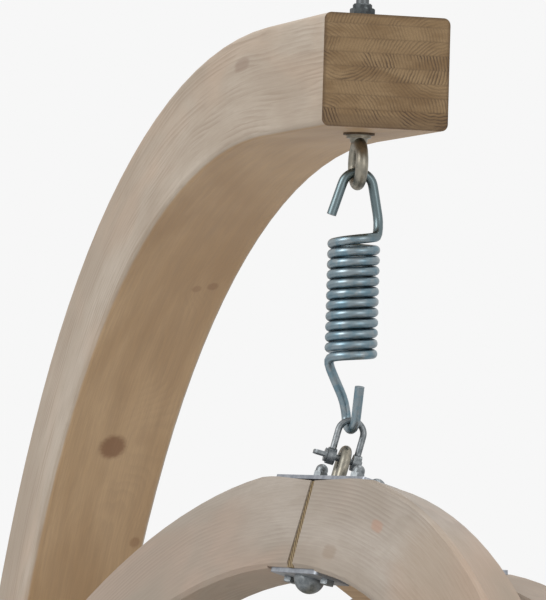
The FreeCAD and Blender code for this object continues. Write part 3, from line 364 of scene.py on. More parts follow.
def hoop_run(centre, normal, upward, radius):
    """Along, across and outward distances in a hoop."""
    side = upward.cross(normal)

    def run(g):
        off = g.less(g.place, tuple(centre))
        a = g.dot(off, tuple(side))
        b = g.dot(off, tuple(upward))
        across = g.dot(off, tuple(normal))
        return g.math("ARCTAN2", a, b) * radius, across, g.length(a, b) - (radius - HOOP_THICK / 2.0)
    return run


def straight_run(along, across):
    """Distances in a straight timber."""
    upward = along.cross(across)

    def run(g):
        return [g.dot(g.place, tuple(axis)) for axis in (along, across, upward)]
    return run


# ---------------------------------------------------------------- timber
class Board:
    """A timber's distances along, across and outward, and where a point lies in its layers."""

    def __init__(self, g, run, lamella):
        self.g = g
        self.lamella = lamella
        self.along, self.across, self.out = run(g)
        raised = self.out + LAYERS_START
        self.layer = g.math("FLOOR", raised / lamella)
        self.pick = g.chance(self.layer)
        self.pick_b = g.chance(self.layer + SECOND_DRAW)
        self.flip = (self.pick_b > 0.5) * 2.0 - 1.0
        self.in_layer = raised - (self.layer + 0.5) * lamella
        self.level = self.out + self.pick * 3.0
        self.fibre = self.grain(0.035, scale=900.0, detail=4.0, rough=0.65)

    def grain(self, stretch, scale, detail, rough, warp=0.0, layered=False):
        """Noise drawn out along the timber, the same through all layers or different in each."""
        height = self.level if layered else self.out
        vector = self.g.join(self.along * stretch, self.across, height)
        return self.g.noise(vector, scale, detail, rough, warp)

    def glue_line(self, start, stop, share):
        """Share of the thin line between two layers, from start to stop short of the layer's edge."""
        edge = self.lamella * 0.5
        return self.g.band(abs(self.in_layer), edge - start, edge - stop, 0.0, share)

    def above_underside(self, start, stop, share=1.0):
        """Share that fades out from start to stop above the arm's underside."""
        low = -ARM_DEPTH / 2.0
        return self.g.band(self.out, low + start, low + stop, share, 0.0)


def knot_pull(board, knots):
    """How far growth lines bulge round knots, and how dark the knots are."""
    g = board.g
    pull = 0.0
    dark = 0.0
    for spot, side, size, depth in knots:
        dx = (board.along - spot) * 0.8
        dy = board.across - side
        pull = pull + g.band(g.length(dx * 0.6, dy), 0.0, size * 4.5, 1.0, 0.0) * (size * 1.2)
        near = g.length(dx, dy) + g.noise(g.place, 320.0, 2.0) * (size * 0.3)
        dark = g.math("MAXIMUM", dark, g.band(near, size * 0.8, size * 1.35, depth, 0.0))
    return pull, dark


def late_wood(board, ring, wander, loops, pull):
    """Dark part of each year's growth. Each layer was cut beside its own pith, bark up or down."""
    g = board.g
    beside = board.across - (board.pick - 0.5) * PITH_SPREAD
    below = board.in_layer * board.flip + (PITH_DEPTH + board.pick * PITH_DEPTH_MORE)
    slow = board.grain(0.16, scale=13.0, detail=2.0, rough=0.45, warp=0.3, layered=True)
    loop = board.grain(0.32, scale=15.0, detail=1.0, rough=0.4, warp=0.5, layered=True)
    fine = board.grain(0.08, scale=45.0, detail=4.0, rough=0.60, warp=0.4, layered=True)
    far = g.length(beside, below)
    for wave, reach in ((slow, wander * 2.0), (loop, loops * 2.0), (fine, 0.0050)):
        far = far + (wave - 0.5) * reach
    far = far + pull
    phase = g.math("FRACT", (far + 1.0) / ring)
    return g.band(phase, 0.10, 0.84) * g.band(phase, 0.88, 1.0, 1.0, 0.0)


def planed_tone(board, late, pale, deep, line, warm, contrast, underside):
    """Colour of the timber's planed faces. The arm's underside has two warmer colours, partly the timber's
    own tone and partly painted warm shade.
    """
    g = board.g
    streak = board.grain(0.05, scale=75.0, detail=3.0, rough=0.6, warp=0.2)
    cloud = board.grain(0.30, scale=9.0, detail=3.0, rough=0.55, warp=0.6)
    mottle = board.grain(0.45, scale=46.0, detail=4.0, rough=0.62, warp=0.5)
    tone = g.mix(g.band(cloud, 0.34, 0.66), pale, deep)
    tone = g.mix(g.band(mottle, 0.46, 0.70, 0.0, 0.34), tone, deep)
    if warm is not None:
        blush = board.grain(0.35, scale=17.0, detail=2.0, rough=0.5, warp=0.8)
        tone = g.mix(g.band(blush, 0.45, 0.75, 0.0, 0.55), tone, warm)
    stripe = g.band(streak, 0.35, 0.70, 0.0, 0.22)
    # The arm's downward face gets warmer, duller colours and fainter lines: partly the timber's own tone,
    # partly painted warm shade.
    if underside is not None:
        tone_and_shade_pale, tone_and_shade_deep = underside
        blend = cloud * 0.75 + streak * 0.25 + g.band(board.along, 0.75, 1.15, 0.0, 0.14)
        on_face = g.band(board.out, *ARM_UNDERSIDE, 1.0, 0.0)
        tone = g.mix(on_face, tone, g.mix(g.band(blend, 0.34, 0.66), tone_and_shade_pale, tone_and_shade_deep))
        contrast = (1.0 - on_face * 0.68) * contrast
        stripe = stripe * (1.0 - on_face * 0.7)
    tone = g.mix(stripe, tone, deep)
    patchy = g.band(board.grain(0.4, scale=26.0, detail=3.0, rough=0.55, layered=True), 0.38, 0.66)
    tone = g.mix(late * patchy * contrast, tone, line)
    tone = g.mix(g.band(board.fibre, 0.32, 0.68, 0.22, 0.0), tone, line)
    return g.mix(board.glue_line(0.0004, 0.0, 0.10), tone, line)


def add_marks(board, tone, marks):
    """Stains, plugs, joints and painted shade, all with no depth of their own."""
    g = board.g
    for spot, height, length, width, colour, share in marks:
        dx = abs((board.along - spot) / length)
        dz = abs((board.out - height) / width)
        spread = g.math("POWER", dx, 3.0) + g.math("POWER", dz, 3.0) + (board.fibre - 0.5)
        tone = g.mix(g.band(spread, 0.1, 1.2, share, 0.0), tone, colour)
    return tone


def sawn_tone(board, pale, deep, line):
    """Colour of the arm's sawn tip, with arcs of growth that change side from layer to layer."""
    g = board.g
    hand = (board.pick > 0.45) * 2.0 - 1.0
    beside = board.across - hand * (END_PITH_SIDE + board.pick_b * END_PITH_SIDE_MORE)
    below = board.in_layer * board.flip + (END_PITH_DEPTH + board.pick * END_PITH_DEPTH_MORE)
    far = g.length(beside, below) + (g.noise(g.place, 120.0, 2.0) - 0.5) * 0.0030
    phase = g.math("FRACT", (far + 1.0) / END_RING)
    arcs = g.band(phase, 0.25, 0.85) * g.band(phase, 0.87, 1.0, 1.0, 0.0)
    strong = g.band(g.chance(board.layer + THIRD_DRAW), 0.1, 0.8, 0.35, 1.0)
    patch = g.band(g.noise(g.place, 42.0, 3.0, 0.55), 0.40, 0.60, 0.25, 1.0)
    cloud = g.noise(g.join(0.0, board.across, board.out * 3.0), 24.0, 3.0, 0.6)
    pores = g.noise(g.place, 1300.0, 2.0, 0.6)
    tone = g.mix(g.band(cloud, 0.35, 0.68), pale, deep)
    tone = g.mix(board.pick * 0.5, tone, deep)
    tone = g.mix(board.above_underside(0.0085, 0.0105, 0.28), tone, line)
    tone = g.mix(arcs * (strong * patch), tone, line)
    tone = g.mix(g.band(pores, 0.35, 0.7, 0.25, 0.0), tone, line)
    tone = g.mix(board.glue_line(0.0010, 0.0002, 0.20), tone, line)
    rims = [g.band(abs(distance), size / 2.0 - 0.0030, size / 2.0 - 0.0004, 0.0, 0.5)
            for distance, size in ((board.across, ARM_WIDTH), (board.out, ARM_DEPTH))]
    return g.mix(g.math("MAXIMUM", *rims), tone, line)


def timber(name, run, pale, deep, line, lamella, warm=None, ring=0.0028, wander=0.010, loops=0.005,
           contrast=0.36, marks=(), knots=(), underside=None, end=None):
    """Softwood or beech whose growth lines follow the piece. Knots, underside and end are for the arm."""
    g = Graph(name)
    board = Board(g, run, lamella)
    pull = 0.0
    if knots:
        pull, dark = knot_pull(board, knots)
        on_face = board.above_underside(0.003, 0.012)
        pull = pull * on_face
        dark = dark * on_face
    late = late_wood(board, ring, wander, loops, pull)
    tone = planed_tone(board, late, pale, deep, line, warm, contrast, underside)
    tone = add_marks(board, tone, marks)
    if knots:
        tone = g.mix(dark, tone, srgb(112, 72, 44))
    if end is not None:
        tone = g.mix(board.along < END_SLICE, tone, sawn_tone(board, *end))
    g.set(colour=tone, rough=0.46 + board.fibre * 0.22, coat=0.06, coat_rough=0.35, specular=0.35)
    g.bump(late * 0.4 + board.fibre * 0.6, distance=0.00020, strength=0.5)
    return g.material


# ---------------------------------------------------------------- metals, rubber and cloth
def metal(name, bright, dull, rough, spots=220.0, pitted=0.0, brushed=None, above=None, top=None):
    """Zinc, steel or aluminium in linear colours. Above a height it may have another colour."""
    g = Graph(name)
    cloud = g.noise(g.place, spots, 4.0, 0.6, 0.4)
    broad = g.noise(g.place, spots * 0.18, 2.0)
    tone = g.mix(g.band(cloud, 0.36, 0.68), bright + (1.0,), dull + (1.0,))
    tone = g.mix(g.band(broad, 0.30, 0.75, 0.0, 0.45), tone, dull + (1.0,))
    x, y, z = g.split(g.place)
    if above is not None:
        tone = g.mix(g.band(z, above, above + 0.004), tone, top + (1.0,))
    g.set(colour=tone, metal=1.0, rough=rough + cloud * 0.16)
    if brushed is not None:
        lines = g.noise(g.join(x * brushed, y, z), 1800.0, 2.0, 0.6)
        g.bump(lines, distance=0.00003, strength=0.5)
    else:
        g.bump(cloud, distance=0.00004 + pitted, strength=0.6)
    return g.material


def rubber(name, colour):
    g = Graph(name)
    speck = g.noise(g.place, 900.0, 3.0, 0.6)
    g.set(colour=g.mix(speck * 0.4, colour, srgb(60, 60, 60)), rough=0.75)
    g.bump(speck, distance=0.0001, strength=0.5)
    return g.material


def twisted(name, pale, dark, period, slant):
    """Tan packing strip with slanting strands."""
    g = Graph(name)
    x, _, z = g.split(g.place)
    wave = g.math("SINE", (z + x * slant) * (2.0 * math.pi / period))
    dot = g.noise(g.place, 900.0, 3.0, 0.6)
    tone = g.mix(g.band(wave, -0.9, 0.5), dark, pale)
    tone = g.mix(g.band(dot, 0.35, 0.7, 0.35, 0.0), tone, dark)
    g.set(colour=tone, rough=0.8)
    g.bump(wave + dot * 0.4, distance=0.0004, strength=0.8)
    return g.material


def woven(name, pale, shade, thread, soft=0.0):
    """Plain weave from the piece's own place, so that it needs no unwrapped surface."""
    g = Graph(name)
    x, y, z = g.split(g.place)
    turns = 2.0 * math.pi / thread
    weave = g.math("SINE", (x + z * 0.7) * turns) * g.math("SINE", (y - z * 0.7) * turns)
    slub = g.noise(g.place, 420.0, 3.0, 0.6)
    broad = g.noise(g.place, 7.0)
    tone = g.mix(g.band(weave, -0.8, 0.9, 0.5, 0.0), pale, shade)
    tone = g.mix(g.band(slub, 0.35, 0.7, 0.25, 0.0), tone, shade)
    tone = g.mix(g.band(broad, 0.3, 0.75, 0.0, 0.22), tone, shade)
    g.set(colour=tone, rough=0.9, sheen=0.25, specular=0.2)
    height = weave * 0.5 + slub * 0.7
    if soft:
        height = height + broad * soft
    g.bump(height, distance=0.0004, strength=0.7)
    return g.material


# ---------------------------------------------------------------- the chair's own frame
def turn_y(degrees, point):
    return Matrix.Rotation(math.radians(degrees), 3, "Y") @ Vector(point)


def turn_z(degrees):
    return Matrix.Rotation(math.radians(degrees), 3, "Z")


def in_chair(point):
    return turn_z(CHAIR_YAW) @ Vector(point) + CROWN


FRONT_CENTRE = turn_y(FRONT_LEAN, (0, 0, FRONT_TOP - FRONT_OUTER))
REAR_APEX = turn_y(FRONT_LEAN, (-REAR_SETBACK, 0, FRONT_TOP - REAR_DROP))
REAR_CENTRE = REAR_APEX + turn_y(REAR_LEAN, (0, 0, -REAR_OUTER))


def hoop_axes(lean):
    """A hoop's normal and its upward direction."""
    return [turn_z(CHAIR_YAW) @ turn_y(lean, axis) for axis in ((1, 0, 0), (0, 0, 1))]


def hem_point(front, angle, depth, forward):
    """Point inside a hoop: angle from its bottom, depth in from its inner face, forward of its middle."""
    outer, centre, lean = ((FRONT_OUTER, FRONT_CENTRE, FRONT_LEAN) if front
                           else (REAR_OUTER, REAR_CENTRE, REAR_LEAN))
    radius = outer - HOOP_THICK - depth
    flat = centre + turn_y(lean, (forward, 0, -radius * math.cos(angle)))
    return flat + Vector((0, radius * math.sin(angle), 0))


def sling_point(angle, share, depth):
    """Point of the hammock cloth: angle from the bottom, share of the way from the front hoop to the rear."""
    front = hem_point(True, angle, HEM_GAP + depth, -HEM_FORWARD)
    rear = hem_point(False, angle, HEM_GAP + depth, HEM_FORWARD)
    out = Vector((0, math.sin(angle), -math.cos(angle)))
    sag = SLING_SAG * max(0.1, math.cos(angle * 0.86)) ** 2
    return front + (rear - front) * share + out * (4.0 * sag * share * (1.0 - share))


# ---------------------------------------------------------------- hammock cloth and back cloth
def apply_all(piece):
    """Keeps what the modifiers make and drops them."""
    depsgraph = bpy.context.evaluated_depsgraph_get()
    made = bpy.data.meshes.new_from_object(piece.evaluated_get(depsgraph))
    old = piece.data
    piece.modifiers.clear()
    piece.data = made
    bpy.data.meshes.remove(old)


def cloth_piece(name, rows, material):
    """A sheet from rows of points in the row frame, given its thickness evenly on both sides."""
    columns = len(rows[0])
    faces = [(r * columns + c, r * columns + c + 1, (r + 1) * columns + c + 1, (r + 1) * columns + c)
             for r in range(len(rows) - 1) for c in range(columns - 1)]
    mesh = bpy.data.meshes.new(name)
    mesh.from_pydata([tuple(point) for row in rows for point in row], [], faces)
    mesh.update()
    piece = add_object(name, mesh)
    mesh.materials.append(material)
    for polygon in mesh.polygons:
        polygon.use_smooth = True
    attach(piece, "chair")
    skin = piece.modifiers.new("thickness", "SOLIDIFY")
    skin.thickness = CLOTH_THICK
    skin.offset = 0.0
    apply_all(piece)
    return piece


def ripple(a, b, seed):
    """Small even unevenness from a few fixed waves."""
    broad = math.sin(a * 3.1 + seed) * math.cos(b * 2.3 - seed)
    return (broad + 0.6 * math.sin(a * 7.3 - b * 5.1 + seed * 2.0)) / 1.6


def make_sling(material):
    """The hammock seat: one cloth between the two hoops, with small pull folds at its screws."""
    middle = SLING_THICK / 2.0
    rows = []
    for r in range(SLING_ROWS):
        angle = math.radians(SLING_SPAN * (2.0 * r / (SLING_ROWS - 1) - 1.0))
        out = Vector((0, math.sin(angle), -math.cos(angle)))
        line = [hem_point(True, angle, HEM_GAP + middle, FRONT_LAP)]
        for k in range(SLING_STEPS + 1):
            share = k / SLING_STEPS
            free = math.sin(math.pi * share)
            folds = SLING_FOLD * math.sin(angle * SLING_FOLD_TURNS) * (1.0 - free)
            pull = SLING_RIPPLE * ripple(angle * 6.0, share * 3.0, 1.3) + folds
            lift = free * SLING_BULGE + pull * min(1.0, free * 3.0)
            line.append(sling_point(angle, share, middle) + out * lift)
        line.append(hem_point(False, angle, HEM_GAP + middle, REAR_LAP))
        rows.append([in_chair(point) for point in line])
    piece = cloth_piece("hammock_cloth", rows, material)
    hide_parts("seat_sling")
    return piece


def make_back_cloth(material):
    """The dished cloth inside the rear hoop, level along its top hem."""
    rim = REAR_OUTER - HOOP_THICK - HEM_GAP
    normal, upward = hoop_axes(REAR_LEAN)
    side = upward.cross(normal)
    centre = in_chair(REAR_CENTRE)
    first = 0.03
    last = math.acos(-BACK_TOP / rim)
    rows = []
    for r in range(BACK_ROWS):
        z = -rim * math.cos(first + (last - first) * r / (BACK_ROWS - 1))
        half = math.sqrt(rim * rim - z * z) * 0.9995
        line = []
        for c in range(BACK_COLUMNS):
            y = half * math.sin(math.pi * 0.5 * (2.0 * c / (BACK_COLUMNS - 1) - 1.0))
            share = math.hypot(y, z) / rim
            dish = -BACK_SET - BACK_DISH * (1.0 - share * share) - SLING_THICK / 2.0
            dish -= 0.0012 * max(0.0, 1.0 - share) * (1.0 + ripple(y * 22.0, z * 18.0, 0.7))
            line.append(centre + normal * dish + side * y + upward * z)
        rows.append(line)
    piece = cloth_piece("back_cloth", rows, material)
    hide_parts("back_panel")
    return piece


# ---------------------------------------------------------------- cushions
def blow_up(piece, rest, most):
    """Swells the closed skin by pressure. No point moves further than most, or than it may where it rests."""
    start = [vertex.co.copy() for vertex in piece.data.vertices]
    cloth = piece.modifiers.new("fill", "CLOTH")
    cloth.settings.quality = 5
    cloth.settings.mass = 0.3
    cloth.settings.use_pressure = True
    cloth.settings.uniform_pressure_force = PRESSURE
    cloth.settings.effector_weights.gravity = 0.0
    scene = bpy.context.scene
    for step in range(1, FILL_STEPS + 1):
        scene.frame_set(step)
    blown = piece.evaluated_get(bpy.context.evaluated_depsgraph_get()).to_mesh()
    ends = [vertex.co.copy() for vertex in blown.vertices]
    piece.modifiers.clear()
    scene.frame_set(1)
    for vertex, a, b, resting in zip(piece.data.vertices, start, ends, rest):
        move = b - a
        limit = RESTING_MOVE if resting else most
        vertex.co = a + move * min(1.0, limit / max(move.length, 1e-9))


def stuffed(node, name, material, voxel, most, held, valley):
    """A cushion blown up from its solid. held(point, normal) says where it rests on something."""
    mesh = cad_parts[node].data.copy()
    mesh.materials.clear()
    mesh.materials.append(material)
    piece = add_object(name, mesh)
    even = piece.modifiers.new("even", "REMESH")
    even.mode = "VOXEL"
    even.voxel_size = voxel
    apply_all(piece)
    soften = piece.modifiers.new("soften", "SMOOTH")
    soften.iterations = 4
    apply_all(piece)
    for vertex in piece.data.vertices:
        resting = held(vertex.co, vertex.normal)
        vertex.co -= vertex.normal * (RESTING_SHRINK if resting else FREE_SHRINK)
    rest = [held(vertex.co, vertex.normal) for vertex in piece.data.vertices]
    blow_up(piece, rest, most)
    depths = [0.0 if resting else valley(vertex.co) for vertex, resting in zip(piece.data.vertices, rest)]
    normals = [vertex.normal.copy() for vertex in piece.data.vertices]
    for vertex, normal, depth in zip(piece.data.vertices, normals, depths):
        vertex.co -= normal * depth
    soften = piece.modifiers.new("soften", "SMOOTH")
    soften.iterations = 2
    finer = piece.modifiers.new("finer", "SUBSURF")
    finer.levels = 1
    finer.render_levels = 1
    apply_all(piece)
    for polygon in piece.data.polygons:
        polygon.use_smooth = True
    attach(piece, "chair")
    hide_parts(node)
    return piece


def chair_angle(point):
    """Angle round the hoops, from the bottom, of a point in the row frame."""
    local = turn_z(-CHAIR_YAW) @ (point - CROWN)
    return math.atan2(local.y, -(local.z + FRONT_OUTER))


def seat_rests(point, normal):
    """The seat rests where its skin faces away from the middle between the hoops."""
    away = point - in_chair((FRONT_CENTRE + REAR_CENTRE) * 0.5)
    return away.dot(normal) > SEAT_FACING * away.length


def seat_valley(point):
    """Depth of the sewn channels across the seat."""
    step = math.radians(SEAT_CHANNEL)
    angle = chair_angle(point)
    if abs(angle) >= math.radians(SEAT_CHANNEL_REACH):
        return 0.0
    off = (angle / step - round(angle / step)) * step * SEAT_RADIUS
    return SEAT_CHANNEL_DEPTH * math.exp(-(off / SEAT_CHANNEL_WIDTH) ** 2)


def back_rests(point, normal):
    """The back cushion rests where its skin faces the back cloth."""
    return normal.dot(hoop_axes(REAR_LEAN)[0]) < -BACK_FACING


def back_valley(point):
    """Depth of the two sewn channels across the back cushion."""
    up = (point - in_chair(REAR_CENTRE)).dot(hoop_axes(REAR_LEAN)[1])
    return sum(BACK_CHANNEL_DEPTH * math.exp(-((up - level) / BACK_CHANNEL_WIDTH) ** 2)
               for level in (-BACK_CHANNEL, BACK_CHANNEL))


# ---------------------------------------------------------------- pieces of round section
def round_curve(name, spots, radius, kind, smoothness):
    """A curve of round section along the spots, and its spline."""
    curve = bpy.data.curves.new(name, "CURVE")
    curve.dimensions = "3D"
    curve.bevel_depth = radius
    curve.bevel_resolution = smoothness
    spline = curve.splines.new(kind)
    spline.points.add(len(spots) - 1)
    for point, spot in zip(spline.points, spots):
        point.co = (*spot, 1.0)
    spline.order_u = 4
    return curve, spline


def piping(name, cushion, path, material):
    """Corded seam that follows the cushion's edge."""
    spots = []
    for point in path:
        _, place, normal, _ = cushion.closest_point_on_mesh(point)
        spots.append(place + normal * PIPING_RADIUS * 0.35)
    curve, spline = round_curve(name, spots, PIPING_RADIUS, "NURBS", 4)
    spline.use_cyclic_u = True
    curve.materials.append(material)
    piece = add_object(name, curve)
    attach(piece, "chair")


def seat_rim():
    """Loop of points along the seat cushion's edge."""
    reach = math.radians(CUSHION_REACH)
    count = 60
    turns = [reach * (2.0 * k / count - 1.0) for k in range(count + 1)]
    shares = [SEAM_FRONT + (SEAM_REAR - SEAM_FRONT) * k / 10.0 for k in range(1, 10)]
    ahead = [sling_point(angle, SEAM_FRONT, SEAM_DEPTH) for angle in turns]
    right = [sling_point(reach, share, SEAM_DEPTH) for share in shares]
    behind = [sling_point(-angle, SEAM_REAR, SEAM_DEPTH) for angle in turns]
    left = [sling_point(-reach, share, SEAM_DEPTH) for share in reversed(shares)]
    return [in_chair(point) for point in ahead + right + behind + left]


def back_rim():
    """Loop of points along the back cushion's edge."""
    normal, upward = hoop_axes(REAR_LEAN)
    side = upward.cross(normal)
    centre = in_chair(REAR_CENTRE) - normal * BACK_SET
    count = 64
    angles = [2.0 * math.pi * k / count for k in range(count)]
    return [centre + (side * math.sin(angle) + upward * math.cos(angle)) * BACK_SEAM for angle in angles]


def on_coil(angle, height):
    return Vector((SPRING_MEAN * math.cos(angle), COIL_SHIFT + SPRING_MEAN * math.sin(angle), height))


def spread(start, stop, most):
    """Angles in radians from start to stop, in even steps of no more than most degrees."""
    steps = math.ceil(abs(stop - start) / most)
    return [math.radians(start + (stop - start) * step / steps) for step in range(steps + 1)]


def top_hook():
    """From the cut end over the eye and down the leg to the first turn."""
    splay = math.radians(TOP_SPLAY)
    free = TOP_HOOK + Vector((0, -math.cos(splay), math.sin(splay))) * TOP_MEAN
    down = Vector((0, -math.sin(splay), -math.cos(splay))) * TOP_TAIL
    spots = [free + down * share for share in (1.0, 0.66, 0.33)]
    for angle in spread(180.0 - TOP_SPLAY, TOP_LEAN, HOOK_STEP):
        spots.append(TOP_HOOK + Vector((0, math.cos(angle), math.sin(angle))) * TOP_MEAN)
    leg = spots[-1]
    first = on_coil(math.radians(TOP_ANGLE), COIL_TOP + END_PITCH * (TOP_ANGLE - LOW_ANGLE) / 360.0)
    spots += [leg.lerp(TOP_LIP, share) for share in (0.25, 0.50, 0.72)]
    return spots + [TOP_LIP.lerp(first, 0.55)]


def coil():
    """The last part of a turn below the top hook, more open than the rest, then the close turns."""
    spots = []
    for angle in spread(TOP_ANGLE, LOW_ANGLE, COIL_STEP):
        spots.append(on_coil(angle, COIL_TOP + END_PITCH * (math.degrees(angle) - LOW_ANGLE) / 360.0))
    pitch = (COIL_TOP - COIL_LOW) / SPRING_TURNS
    for angle in spread(LOW_ANGLE, LOW_ANGLE - 360.0 * SPRING_TURNS, COIL_STEP)[1:]:
        spots.append(on_coil(angle, COIL_TOP + pitch * (math.degrees(angle) - LOW_ANGLE) / 360.0))
    return spots


def low_hook():
    """From the last turn down, round the shackle and up to the cut end."""
    yaw = math.radians(LOW_YAW)
    splay = math.radians(LOW_SPLAY)
    side = Vector((math.cos(yaw), math.sin(yaw), 0))
    last = on_coil(math.radians(LOW_ANGLE), COIL_LOW)
    knee = LOW_HOOK - side * LOW_MEAN + Vector((0, 0, LOW_KNEE))
    spots = [last.lerp(LOW_LIP, 0.75)]
    spots += [LOW_LIP.lerp(knee, share) for share in (0.16, 0.40, 0.64, 0.88)]
    for angle in spread(-180.0, -LOW_SPLAY, HOOK_STEP):
        spots.append(LOW_HOOK + (side * math.cos(angle) + Vector((0, 0, math.sin(angle)))) * LOW_MEAN)
    up = (side * math.sin(splay) + Vector((0, 0, math.cos(splay)))) * LOW_TAIL
    return spots + [spots[-1] + up * share for share in (0.33, 0.66, 1.0)]


def stretching_spring(material):
    """The tension spring's one wire, from its top hook through its coils to its lower hook."""
    spots = [turn_z(SPRING_YAW) @ spot for spot in top_hook() + coil() + low_hook()]
    curve, spline = round_curve("spring_line", spots, SPRING_WIRE / 2.0, "NURBS", 5)
    curve.use_fill_caps = True
    spline.use_endpoint_u = True
    spline.resolution_u = 2
    line = add_object("spring_line", curve)
    bpy.context.view_layer.update()
    mesh = bpy.data.meshes.new_from_object(line.evaluated_get(bpy.context.evaluated_depsgraph_get()))
    bpy.data.objects.remove(line)
    for face in mesh.polygons:
        face.use_smooth = len(face.vertices) == 4
    mesh.materials.clear()
    mesh.materials.append(material)
    piece = add_object("stretching_spring", mesh)
    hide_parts("tension_spring")
    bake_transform(piece)


def crown_eye(material):
    """Eye of bent bar on the chair's crown, its two legs down on the clamp plate."""
    lean = hoop_axes(FRONT_LEAN)[1]
    yaw = math.radians(PIN_YAW)
    pin = Vector((math.sin(yaw), math.cos(yaw), 0.0))
    pin = (pin - lean * pin.dot(lean)).normalized()
    aside = lean.cross(pin)
    spots = [CROWN - aside * EYE_MEAN]
    for step in range(EYE_STEPS + 1):
        angle = math.pi * step / EYE_STEPS
        height = EYE_RISE + EYE_MEAN * math.sin(angle)
        spots.append(CROWN + lean * height - aside * EYE_MEAN * math.cos(angle))
    spots.append(CROWN + aside * EYE_MEAN)
    curve, _ = round_curve("crown_eye", spots, EYE_WIRE / 2.0, "POLY", 7)
    curve.use_fill_caps = True
    curve.materials.append(material)
    piece = add_object("crown_eye", curve)
    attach(piece, "chair")
    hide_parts("chair_eye")


# ---------------------------------------------------------------- materials on the solids
def dress(nodes, material):
    """Gives these solids their finish."""
    for name in nodes:
        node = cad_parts[name]
        if not node.material_slots:
            node.data.materials.append(material)
        for slot in node.material_slots:
            slot.material = material


def dress_stand():
    """The arm with its knots, its mark and its sawn tip, and the base's two beams."""
    knots = [  # along the arm from its tip, across it, size and darkness
        (0.7995, -0.003, 0.0122, 0.72),
        (0.786, 0.022, 0.0090, 0.06),
        (0.572, 0.019, 0.0044, 0.32),
        (0.567, 0.032, 0.0050, 0.38),
        (0.913, 0.040, 0.0050, 0.40),
    ]
    # along, outward, length, width, colour and share
    marks = [(0.2008, 0.0183, 0.0200, 0.0055, srgb(130, 106, 88), 0.55)]
    shades = dict(pale=srgb(188, 175, 159), deep=srgb(164, 148, 130), line=srgb(128, 106, 84))
    # The underside's two colours are partly the spruce's own warmer tone, partly painted warm shade.
    arm = timber("arm_spruce", arm_run, **shades, lamella=ARM_LAMELLA, warm=srgb(184, 160, 138), marks=marks,
                 knots=knots, underside=(srgb(188, 158, 122), srgb(160, 128, 91)),
                 end=(srgb(156, 129, 92), srgb(126, 98, 62), srgb(68, 47, 26)))
    dress(["stand_arm"], arm)
    ahead = Vector((1, 0, 0))
    aside = Vector((0, 1, 0))
    dress(["keel_beam"], timber("keel_spruce", straight_run(ahead, aside), **shades, lamella=BEAM_LAMELLA))
    dress(["cross_beam"], timber("cross_spruce", straight_run(aside, ahead), **shades, lamella=BEAM_LAMELLA))


def dress_hoops():
    """Both hoops; the rear one's darker colours are painted shade."""
    front_marks = [  # along the hoop from its top, outward, length, width, colour and share
        (0.1297, 0.0098, 0.0110, 0.0048, srgb(172, 122, 94), 0.42),
        (0.0660, -0.0225, 0.0130, 0.0060, srgb(136, 116, 96), 0.42),
        # a broad patch of painted shade, where the hoop's outer face turns from the light
        (0.3000, 0.0050, 0.130, 0.0450, srgb(154, 130, 104), 0.42),
    ]
    shades = dict(line=srgb(120, 106, 94), warm=srgb(176, 150, 132), contrast=0.30)
    growth = dict(lamella=ONE_LAYER, ring=0.0031, wander=0.008, loops=0.007)
    run = hoop_run(in_chair(FRONT_CENTRE), *hoop_axes(FRONT_LEAN), FRONT_OUTER)
    front = timber("front_hoop_spruce", run, srgb(173, 162, 150), srgb(150, 137, 122), **shades, **growth,
                   marks=front_marks)
    # The rear hoop's colours are darker than the front's: painted shade.
    run = hoop_run(in_chair(REAR_CENTRE), *hoop_axes(REAR_LEAN), REAR_OUTER)
    rear = timber("rear_hoop_spruce_painted_shade", run, srgb(166, 151, 136), srgb(144, 127, 110), **shades, **growth)
    dress(["front_hoop_left", "front_hoop_right"], front)
    dress(["rear_hoop_left", "rear_hoop_right"], rear)


def dress_beech():
    """The block between the crowns and the two rods between the hoops."""
    ahead = turn_z(CHAIR_YAW) @ Vector((1, 0, 0))
    aside = turn_z(CHAIR_YAW) @ Vector((0, 1, 0))
    block = timber("block_beech", straight_run(aside, ahead), srgb(176, 148, 116), srgb(158, 128, 98),
                   srgb(120, 92, 66), lamella=ONE_LAYER, ring=0.003, wander=0.004)
    rod = timber("rod_beech", straight_run(ahead, aside), srgb(182, 154, 122), srgb(166, 136, 104),
                 srgb(128, 98, 72), lamella=ONE_LAYER, ring=0.003, wander=0.004)
    dress(["crown_block", "crown_dowels"], block)
    dress(["spreader_left", "spreader_right"], rod)


def dress_hanging_gear():
    """The spring, the eye bolt with its washers and nut, and the chair's eye."""
    # On the zinc, blotches of warm grey and blue are painted reflections, and the top hook above the coil is
    # painted darker as painted shade below the arm.
    stretching_spring(metal("spring_zinc", (0.27, 0.305, 0.32), (0.155, 0.235, 0.28), rough=0.29, spots=130.0,
                            above=COIL_TOP + 0.0018, top=(0.135, 0.175, 0.185)))
    yellow = metal("yellow_zinc", (0.34, 0.31, 0.25), (0.20, 0.19, 0.16), rough=0.34, spots=140.0,
                   brushed=0.1, above=ABOVE_ARM, top=(0.13, 0.14, 0.145))
    dress(["eye_bolt"], yellow)
    crown_eye(yellow)
    # The washers are painted dark brown, like the arm's underside in shadow: painted shade round the eye's
    # shank under the arm.
    washer_shade = metal("washer_painted_shade", (0.150, 0.112, 0.078), (0.100, 0.074, 0.050), rough=0.62, spots=300.0,
                   above=ABOVE_ARM, top=(0.070, 0.075, 0.078))
    dress(["eye_washers"], washer_shade)
    dull = metal("dull_zinc", (0.085, 0.095, 0.098), (0.05, 0.055, 0.058), rough=0.40, spots=300.0,
                 pitted=0.00004)
    dress(["eye_lock_nut"], dull)


